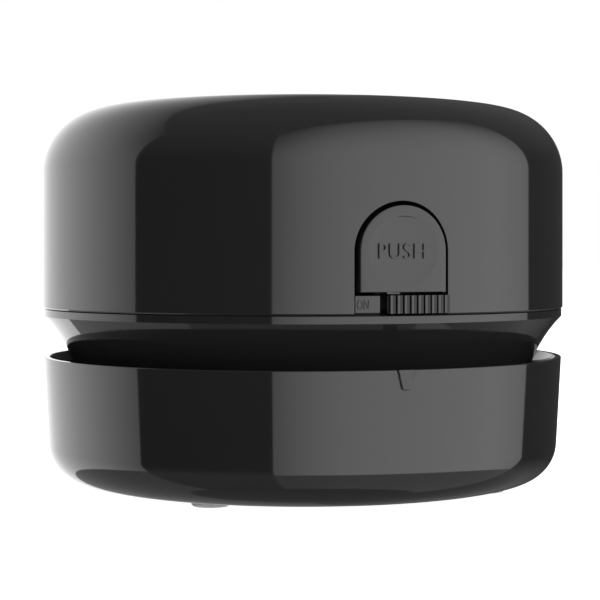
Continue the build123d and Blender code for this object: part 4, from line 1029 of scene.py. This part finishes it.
# %% Stem and fork
stem_low, stem_high, stem_middle = 30.5 * mm, 32.0 * mm, 6.5
stem_half, fork_half = 2.6, 1.6
fork_r, stem_r, stem_sunk = 36.9 * mm, 40.0 * mm, 0.3 * mm
prong = (fork_r, stem_r + stem_sunk)
left, right = stem_middle - stem_half, stem_middle + stem_half
knob_shells = [
    [sector(knob_plate, knob_from, knob_to, 18)],
    [block(stem_r, knob_back_r + stem_sunk, left, right, stem_low, stem_high)],
    [block(*prong, left, stem_middle - fork_half, stem_low, stem_high, 2)],
    [block(*prong, stem_middle + fork_half, right, stem_low, stem_high, 2)],
]
dress(piece("slide_knob", knob_shells, grown=[ribs]), "gloss_black", "switch_knob", "switch_knob")

# %% [markdown]
# Behind the knob runs its track, and beside it lies the tile that the knob uncovers. Their lower and upper edges
# slope back, so a black line frames them. The track has a slot for the stem.

# %% Track and tile
track_low, track_high = seam_z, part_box("switch_plate")[1].z
track_back_r, track_r, ring_r = 40.7 * mm, 42.4 * mm, 41.85 * mm
edge_r, slot_edge_r = 41.6 * mm, 42.1 * mm
track_end, recess_end = 12.4, 9.6
slot_from, slot_to, slot_gap = -2.5, recess_end, 0.25 * mm
slot_low, slot_high = stem_low - slot_gap, stem_high + slot_gap
recess = [
    (track_back_r, track_low), (edge_r, track_low), (track_r, stem_low + 0.1 * mm),
    (track_r, stem_high - 0.1 * mm), (edge_r, track_high), (track_back_r, track_high),
]
sill = [(track_back_r, track_low), (edge_r, track_low), (slot_edge_r, slot_low), (track_back_r, slot_low)]
head = [(track_back_r, slot_high), (slot_edge_r, slot_high), (edge_r, track_high), (track_back_r, track_high)]
tile_r, tile_root_r, tile_from, tile_to = body_r - 0.1 * mm, track_r - 0.3 * mm, -9.6, -4.75
tile_chin, tile_brow, tile_edge = 0.38 * mm, 0.2 * mm, 0.05 * mm
tile = [
    (tile_root_r, track_low), (tile_r - tile_chin, track_low), (tile_r, track_low + 0.36 * mm),
    (tile_r, track_high - 0.24 * mm), (tile_r - tile_edge, track_high - tile_brow), (tile_root_r, track_high),
]
track_shells = [
    [block(track_back_r, ring_r, -track_end, -recess_end, track_low, track_high)],
    [block(track_back_r, ring_r, recess_end, track_end, track_low, track_high)],
    [sector(recess, -recess_end, slot_from)],
    [sector(sill, slot_from, slot_to)],
    [sector(head, slot_from, slot_to)],
    [sector(tile, tile_from, tile_to)],
]
dress(piece("switch_track", track_shells), "gloss_black", "motor_unit", "switch_plate")

# %% [markdown]
# ## Fan
# The impeller sucks in at its eye and throws the air out between eleven backward-curved blades. One blade is
# drawn: its plan is an arc, and it thins towards its free edge so that it leaves the mould. The tree turns it
# round the shaft.

# %% Impeller
fan_low, fan_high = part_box("impeller")[0].z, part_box("impeller")[1].z
fan_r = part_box("impeller")[1].x
fan_eye_r, fan_disc, fan_hub_r, shaft_r = 9.6 * mm, 0.9 * mm, 3.0 * mm, 1.0 * mm
blade_count, blade_sweep, blade_bend, blade_inset = 11, 48.0, 1.6, 0.3 * mm
blade_thick, blade_tip_thick, blade_nip, blade_lift = 0.9 * mm, 0.6 * mm, 0.45, 0.4 * mm


def blade_line(share):
    """Point of the blade's middle line, from the eye to the rim."""
    radius = fan_eye_r + (fan_r - blade_inset - fan_eye_r) * share
    lag = math.radians(-blade_sweep * share ** blade_bend)
    return Vector((radius * math.cos(lag), radius * math.sin(lag)))


blade_sections = []
for share in steps(0, 1, 14):
    ahead = (blade_line(min(1.0, share + 0.01)) - blade_line(max(0.0, share - 0.01))).normalized()
    side = Vector((-ahead.y, ahead.x)) * (blade_nip if share in (0, 1) else 1.0) / 2
    middle, top, foot = blade_line(share), side * blade_thick, side * blade_tip_thick
    root_z, free_z = fan_high - fan_disc / 2, fan_low + (blade_lift if share == 0 else 0.0)
    blade_sections.append([
        (*(middle + top), root_z), (*(middle - top), root_z), (*(middle - foot), free_z), (*(middle + foot), free_z),
    ])
blade = shape("blade", [bar(blade_sections)])
blades = grow("fan_blades", on_ring, "fan_white", blade, Count=blade_count, Step=360 / blade_count)
hub_round, root_round, disc_round = 0.4 * mm, 0.5 * mm, 0.15 * mm
fan_outline = rounded([
    (shaft_r, fan_low, 0), (fan_hub_r, fan_low, hub_round), (fan_hub_r, fan_high - fan_disc, root_round),
    (fan_r, fan_high - fan_disc, disc_round), (fan_r, fan_high, disc_round), (shaft_r, fan_high, 0),
])
wheel = [[turned(fan_outline, columns=steps(0, 355, 71))]]
dress(piece("fan_wheel", wheel, grown=[blades]), "fan_white", "rotor", "impeller")

# %% [markdown]
# ## Screws
# A pan-head screw is a turned shape but for the cross in its head. The cross is sunk into the turned grid:
# where a point lies in one of the four arms, it is lowered. Modelled once for each size, it is copied to its
# places with the ring tree.

# %% One screw


def screw(ring_radius, seat, up, head_r, head_height, shank_r, length):
    """Shape of a screw at the front of a ring, its head on the seat and its shank going up or down."""
    recess, pitch = 0.55 * head_height, 0.45 * mm
    profile = [(share * head_r, 0.0) for share in (0.0, 0.12, 0.18, 0.42, 0.5, 0.6)]
    profile += [(0.84 * head_r, 0.12 * head_height), (head_r, 0.5 * head_height), (head_r, head_height)]
    profile.append((shank_r, head_height))
    for k in range(int(length / pitch) - 1):
        profile += [(shank_r, head_height + (k + 0.4) * pitch), (0.78 * shank_r, head_height + (k + 0.9) * pitch)]
    profile += [(0.5 * shank_r, head_height + length), (0.0, head_height + length)]
    rows = []
    for k, (radius, height) in enumerate(profile):
        row = []
        for a in steps(0, 345, 23):
            in_arm = min(a % 90, 90 - a % 90) < 8
            deep = recess if k < 2 or (in_arm and k < 4) else 0.0
            x, y = polar(radius, a)
            row.append((x, y - ring_radius, seat + up * (height + deep - head_height)))
        rows.append(row)
    return shape("screw", [skin(rows, closed=True)])


def screws(node, body, ring_radius, rings, head_r, head_height, shank_r, up=1):
    """All screws of a node; rings are (count, first azimuth, step)."""
    low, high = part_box(node)
    seat = low.z + head_height if up > 0 else high.z - head_height
    length = high.z - low.z - head_height
    one = screw(ring_radius, seat, up, head_r, head_height, shank_r, length)
    sets = [grow(node, on_ring, "screw_steel", one, Count=n, First=first, Step=step) for n, first, step in rings]
    dress(piece(node + "_crossed", [], sharp=30, grown=sets), "screw_steel", body, node)


# %% [markdown]
# Each node of screws needs only its ring: how many there are, where the first one stands and how far apart they
# are. Head, seat and length come from the node's box.

# %% All screws
pan_r, pan_height, thread_r = 1.9 * mm, 1.2 * mm, 0.95 * mm
screws("cover_screws", "motor_unit", boss_ring, [(2, 40.0, 60.0), (2, -40.0, -60.0)], pan_r, pan_height, thread_r)
housing_ring = (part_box("housing_screws")[1].x - pan_r) / math.sin(math.radians(60))
screws("housing_screws", "motor_unit", housing_ring, [(3, 60.0, 120.0)], pan_r, pan_height, thread_r)
motor_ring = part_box("motor_screws")[1].x - pan_r
screws("motor_screws", "motor_unit", motor_ring, [(2, 90.0, 180.0)], pan_r, 0.9 * mm, 1.0 * mm)
board_low, board_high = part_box("board_screws")
board_x, board_y = board_high.x - pan_r, (board_low.y + board_high.y) / 2
board_azimuth = math.degrees(math.atan2(board_x, -board_y))
board_rings = [(2, board_azimuth, -2 * board_azimuth)]
screws("board_screws", "motor_unit", math.hypot(board_x, board_y), board_rings, pan_r, pan_height, thread_r, -1)

# %% [markdown]
# ## Brush
# Two dozen tufts stand round the mouth. Each is a bundle of nylon bristles that spread a little towards their
# tips and are never quite equally long. The tree sets the bristles like the seeds of a sunflower, leans each
# one outwards and adds a small random lean and length from a fixed seed.

# %% Bristle tree
brush_sizes = {
    "Tufts": 24, "Bristles": 30, "Ring": 17.8 * mm, "Tuft radius": 0.9 * mm, "Root": 3.7 * mm, "Lean": 70.0,
    "Seed": 7,
}
golden_angle, stray, shortest = 2.39996, 0.02, 0.93
bundle, given = geometry_tree("bristle bundles", brush_sizes)
number = add(bundle, "GeometryNodeInputIndex").outputs[0]
tuft = calc(bundle, "FLOOR", calc(bundle, "DIVIDE", calc(bundle, "ADD", number, 0.5), given["Bristles"]))
own = calc(bundle, "SUBTRACT", number, calc(bundle, "MULTIPLY", tuft, given["Bristles"]))
round_ring = calc(bundle, "MULTIPLY", calc(bundle, "DIVIDE", tuft, given["Tufts"]), 2 * math.pi)
golden = calc(bundle, "MULTIPLY", own, golden_angle)
reach = calc(bundle, "SQRT", calc(bundle, "DIVIDE", calc(bundle, "ADD", own, 0.5), given["Bristles"]))
reach = calc(bundle, "MULTIPLY", reach, given["Tuft radius"])
out_x = calc(bundle, "MULTIPLY", calc(bundle, "COSINE", golden), reach)
out_y = calc(bundle, "MULTIPLY", calc(bundle, "SINE", golden), reach)
place_x = calc(bundle, "MULTIPLY_ADD", calc(bundle, "COSINE", round_ring), given["Ring"], out_x)
place_y = calc(bundle, "MULTIPLY_ADD", calc(bundle, "SINE", round_ring), given["Ring"], out_y)
place = vector(bundle, place_x, place_y, given["Root"])

# %% [markdown]
# Chance gives each bristle a small lean of its own and a length between 93 and 100 percent.

# %% Chance
chance = add(bundle, "FunctionNodeRandomValue", {"Seed": given["Seed"]}, data_type="FLOAT_VECTOR")
for socket, limit in enumerate(((-stray, -stray, shortest), (stray, stray, 1.0))):
    chance.inputs[socket].default_value = limit
chances = add(bundle, "ShaderNodeSeparateXYZ", {0: chance.outputs[0]}).outputs
lean_x = calc(bundle, "MULTIPLY_ADD", out_y, given["Lean"], chances[0])
lean_y = calc(bundle, "MULTIPLY_ADD", calc(bundle, "MULTIPLY", out_x, -1.0), given["Lean"], chances[1])
planted = {"Rotation": vector(bundle, lean_x, lean_y), "Scale": vector(bundle, 1.0, 1.0, chances[2])}
total = calc(bundle, "MULTIPLY", given["Tufts"], given["Bristles"])
set_copies(bundle, given, {"Count": total, "Position": place}, planted)

# %% Bristles
bristle_r, bristle_tip_r = 0.12 * mm, 0.07 * mm
bristle_length = brush_sizes["Root"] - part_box("brush_tufts")[0].z - 0.02 * mm
profile = ((bristle_r, 0.0), (bristle_r, 0.6 * bristle_length), (bristle_tip_r, bristle_length))
bristle_rows = [[(*polar(radius, a), -height) for a in steps(0, 288, 4)] for radius, height in profile]
bristles = grow("bristles", bundle, "bristle", shape("bristle", [bar(bristle_rows)]))
dress(piece("brush_bristles", [], sharp=80, grown=[bristles]), "bristle", "dust_bowl", "brush_tufts")

# %% [markdown]
# ## Latch spring
# The spring that sends the button back is steel wire wound round two pins. A spiral curve gets a round section,
# and one more tree holds its turns, radius, length and place as inputs.

# %% Spring
wire_r = 0.25 * mm
coil_sizes = {"Turns": 5.0, "Radius": 2.6 * mm, "Length": 8.7 * mm, "Wire": wire_r, "Start": 0.0, "Height": 0.0}
coil, given = geometry_tree("coil spring", coil_sizes)
spiral = add(coil, "GeometryNodeCurveSpiral", {
    "Resolution": 36, "Rotations": given["Turns"], "Start Radius": given["Radius"], "End Radius": given["Radius"],
    "Height": given["Length"],
})
section = add(coil, "GeometryNodeCurvePrimitiveCircle", {"Resolution": 12, "Radius": given["Wire"]})
wire = add(coil, "GeometryNodeCurveToMesh", {
    "Curve": spiral.outputs[0], "Profile Curve": section.outputs[0], "Fill Caps": True,
})
laid = {"Geometry": wire.outputs[0], "Rotation": (math.radians(90), 0, 0)}
laid["Translation"] = vector(coil, 0.0, given["Start"], given["Height"])
make_real(coil, given, add(coil, "GeometryNodeTransform", laid).outputs[0])
spring_low, spring_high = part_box("latch_spring")
spring_length = spring_high.y - spring_low.y
spring = grow("spring_wire", coil, "spring_steel", bpy.data.meshes.new("start"), Length=spring_length - 2 * wire_r,
              Wire=wire_r, Start=spring_high.y - wire_r, Height=arch_spring_z)
coiled_spring = piece("coiled_spring", [], sharp=60, grown=[spring])
dress(coiled_spring, "spring_steel", "motor_unit", "latch_spring")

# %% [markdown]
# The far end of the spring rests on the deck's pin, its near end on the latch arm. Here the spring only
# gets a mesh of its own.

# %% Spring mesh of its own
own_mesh(coiled_spring)

# %% [markdown]
# The switch's tile carries the word that marks the running end of the knob's way.

# %% Word on the tile
on_azimuth, on_z, on_squeeze = -8.1, 31.24 * mm, 0.57
on_height, on_thick, on_sunk = 1.45 * mm, 0.3 * mm, 0.1 * mm
on_word = lettering("on_word", "ON", on_height, on_thick, 0.0, on_z, squeeze=on_squeeze)
for vertex in on_word.vertices:
    lift = -vertex.co.y - on_sunk
    azimuth = on_azimuth + math.degrees(vertex.co.x / tile_r)
    vertex.co.x, vertex.co.y = polar(tile_r + lift, azimuth)
dress(shaded(on_word, "on_word", 30), "matte_black", "motor_unit")

# %% [markdown]
# ## Studio
# The tool stands on a pale floor against white. Two tall softboxes light it: a wide one in front and to the
# right, and one behind on the left. Glossy black shows little but these boxes, so their outlines and their
# fall-off are the look of the picture. Area lights give only even rectangles. Here each softbox is a mesh bent
# round the tool, whose shader fades along the bend and towards the top, as cloth does away from its lamp.

# %% Floor
floor_half = 4.0
floor_mesh = bpy.data.meshes.new("floor")
corners = [(x, y, 0.0) for x, y in rectangle(-floor_half, floor_half, -floor_half, floor_half)]
floor_mesh.from_pydata(corners, [], [(0, 1, 2, 3)])
floor = linked("floor", floor_mesh)
paint = bpy.data.materials.new("pale floor")
paint.use_nodes = True
tree = paint.node_tree
shader = tree.nodes["Principled BSDF"]
place = add(tree, "ShaderNodeTexCoord")
mottle = noise(tree, place.outputs["Object"], 30.0, 3.0)
near_white = {0: mottle, 6: (0.84, 0.84, 0.84, 1), 7: (0.86, 0.86, 0.86, 1)}
tone = add(tree, "ShaderNodeMix", near_white, data_type="RGBA")
rays = add(tree, "ShaderNodeLightPath")
glow = add(tree, "ShaderNodeMapRange", {"Value": rays.outputs["Is Camera Ray"], 3: 0.25, 4: 1.0})
tree.links.new(tone.outputs[2], shader.inputs["Base Color"])
tree.links.new(glow.outputs[0], shader.inputs["Emission Strength"])
shader.inputs["Emission Color"].default_value = (1, 1, 1, 1)
shader.inputs["Roughness"].default_value = 0.9
shader.inputs["Specular IOR Level"].default_value = 0.0
floor_mesh.materials.append(paint)
floor.visible_glossy = False

# %% [markdown]
# A softbox is a bent sheet with an emission shader. Its UV map runs along the bend and upwards, and two colour
# ramps read it: one for the fall-off to the sides, one for the fade towards the top.

# %% Softbox helper
box_r = 0.9  # distance of the bent softboxes from the tool
brightest = 2.5


def softbox(name, middle, top, foot, levels, fade):
    """Bent softbox; top is its height at its middle azimuth, levels are (azimuth, radiance) stops."""
    azimuths = [azimuth for azimuth, level in levels]
    columns = steps(azimuths[0], azimuths[-1], 60)
    heights = [[foot] * len(columns)]
    if top > 0:
        arched = [top * math.cos(math.radians(a - middle)) for a in columns]
        heights += [[share * z for z in arched] for share in steps(0, 1, 4)]
    else:
        heights.append([top] * len(columns))
    rows = [[(*polar(box_r, a), z) for a, z in zip(columns, row)] for row in heights]
    points, faces = skin(rows)
    mesh = bpy.data.meshes.new(name)
    mesh.from_pydata(points, [], faces)
    uv = mesh.uv_layers.new(name="cloth")
    for loop in mesh.loops:
        row, column = divmod(loop.vertex_index, len(columns))
        uv.data[loop.index].uv = (column / (len(columns) - 1), max(0.0, (row - 1) / 4))
    box = linked(name, mesh)
    cloth = bpy.data.materials.new(name)
    cloth.use_nodes = True
    tree = cloth.node_tree
    tree.nodes.clear()
    where = add(tree, "ShaderNodeUVMap", uv_map="cloth")
    sides = add(tree, "ShaderNodeSeparateXYZ", {0: where.outputs[0]})
    reach = azimuths[-1] - azimuths[0]
    along = ramp(tree, sides.outputs[0], [((a - azimuths[0]) / reach, level / brightest) for a, level in levels])
    upward = ramp(tree, sides.outputs[1], fade)
    strength = calc(tree, "MULTIPLY", calc(tree, "MULTIPLY", along, upward), brightest)
    lamp = add(tree, "ShaderNodeEmission", {"Color": (1, 1, 1, 1), "Strength": strength})
    add(tree, "ShaderNodeOutputMaterial", {"Surface": lamp.outputs[0]})
    mesh.materials.append(cloth)
    box.visible_camera = False
    print(name, "from", azimuths[0], "to", azimuths[-1], "degrees")


def ramp(tree, value, stops):
    """Brightness along a value, from (position, brightness) stops."""
    node = add(tree, "ShaderNodeValToRGB", {0: value})
    elements = node.color_ramp.elements
    while len(elements) < len(stops):
        elements.new(1.0)
    for element, (position, level) in zip(elements, stops):
        element.position = position
        element.color = (level, level, level, 1)
    return node.outputs[0]


# %% [markdown]
# Below the softboxes lies their dim reflection in the studio's ground. The floor itself is plain white to the
# camera and left out of the reflections, so the foot of the bowl mirrors this ground instead.

# %% Softboxes
ground_line, ground_foot = -0.40, -1.75
cloth_fade = [
    (0.0, 1.0), (0.2, 0.95), (0.33, 0.84), (0.48, 0.68), (0.6, 0.55), (0.72, 0.45), (0.86, 0.34), (1.0, 0.22),
]
right_levels = [
    (-32, 1.16), (-29.8, 1.24), (-24.2, 1.51), (-17.8, 1.81), (-11.4, 2.04), (-1.6, 2.26), (11.6, 2.42),
    (30, 2.47), (48, 2.46), (56.7, 2.36), (65.8, 2.22), (70.7, 2.05), (75.9, 1.80), (81.5, 1.54), (86, 1.28),
    (91.5, 1.02),
]
left_levels = [
    (-203, 0.35), (-200, 0.5), (-197, 0.7), (-195, 0.9), (-192, 1.2), (-187, 1.5), (-180, 1.65), (-170, 1.76),
    (-161, 1.78), (-152, 1.85), (-139, 1.95), (-128, 2.0), (-119, 1.92), (-111, 1.75), (-104, 1.52),
    (-100, 1.36), (-93, 1.08),
]
right_ground = [(-32, 0.5), (10, 0.64), (50, 0.62), (91.5, 0.52)]
left_ground = [(-203, 0.36), (-180, 0.44), (-93, 0.5)]
right_middle, left_middle, even = 31, -148, [(0, 1), (1, 1)]
softbox("right_softbox", right_middle, 2.14, ground_line, right_levels, cloth_fade)
softbox("left_softbox", left_middle, 1.5, ground_line, left_levels, cloth_fade)
softbox("right_ground", right_middle, ground_line, ground_foot, right_ground, even)
softbox("left_ground", left_middle, ground_line, ground_foot, left_ground, even)

# %% [markdown]
# The room is dim, lighter overhead and at the ground than at eye level. The camera sees white past the floor.

# %% World
world = bpy.data.worlds.new("studio")
bpy.context.scene.world = world
world.use_nodes = True
tree = world.node_tree
tree.nodes.clear()
direction = add(tree, "ShaderNodeTexCoord")
sides = add(tree, "ShaderNodeSeparateXYZ", {0: direction.outputs["Generated"]})
height = add(tree, "ShaderNodeMapRange", {"Value": sides.outputs[2], 1: -1.0, 2: 1.0})
room_levels = [(0.0, 0.25), (0.06, 0.22), (0.26, 0.27), (0.32, 0.14), (0.36, 0.09), (0.39, 0.04), (0.585, 0.06)]
room_levels += [(0.68, 0.12), (0.79, 0.17), (0.885, 0.22), (0.95, 0.26), (1.0, 0.27)]
levels = ramp(tree, height.outputs[0], room_levels)
room = add(tree, "ShaderNodeBackground", {"Color": levels, "Strength": 1.0})
white = add(tree, "ShaderNodeBackground", {"Color": (1, 1, 1, 1), "Strength": 1.0})
rays = add(tree, "ShaderNodeLightPath")
seen = add(tree, "ShaderNodeMixShader", {0: rays.outputs["Is Camera Ray"], 1: room.outputs[0], 2: white.outputs[0]})
add(tree, "ShaderNodeOutputWorld", {"Surface": seen.outputs[0]})
bpy.context.scene.view_settings.view_transform = "Standard"

# %% [markdown]
# The camera stands level, a hand's length away and a little to the left of the button, at half the tool's
# height. A long lens keeps the verticals straight, and a small shift puts the tool in the middle of the frame.

# %% Camera
camera_azimuth, camera_distance, camera_z = -19.75, 295.0 * mm, 38.6 * mm
lens = bpy.data.cameras.new("camera")
lens.sensor_width = 36.0
lens.lens = 103.5
lens.shift_x, lens.shift_y = -0.004, -0.076
camera = linked("camera", lens)
camera.location = (*polar(camera_distance, camera_azimuth), camera_z)
camera.rotation_euler = (math.radians(90), 0, math.radians(camera_azimuth))
bpy.context.scene.camera = camera

# %% [markdown]
# The last cell brings the scene up to date. The finished pieces may not be larger than the solids that they
# dress.

# %% Bring the scene up to date
bpy.context.view_layer.update()
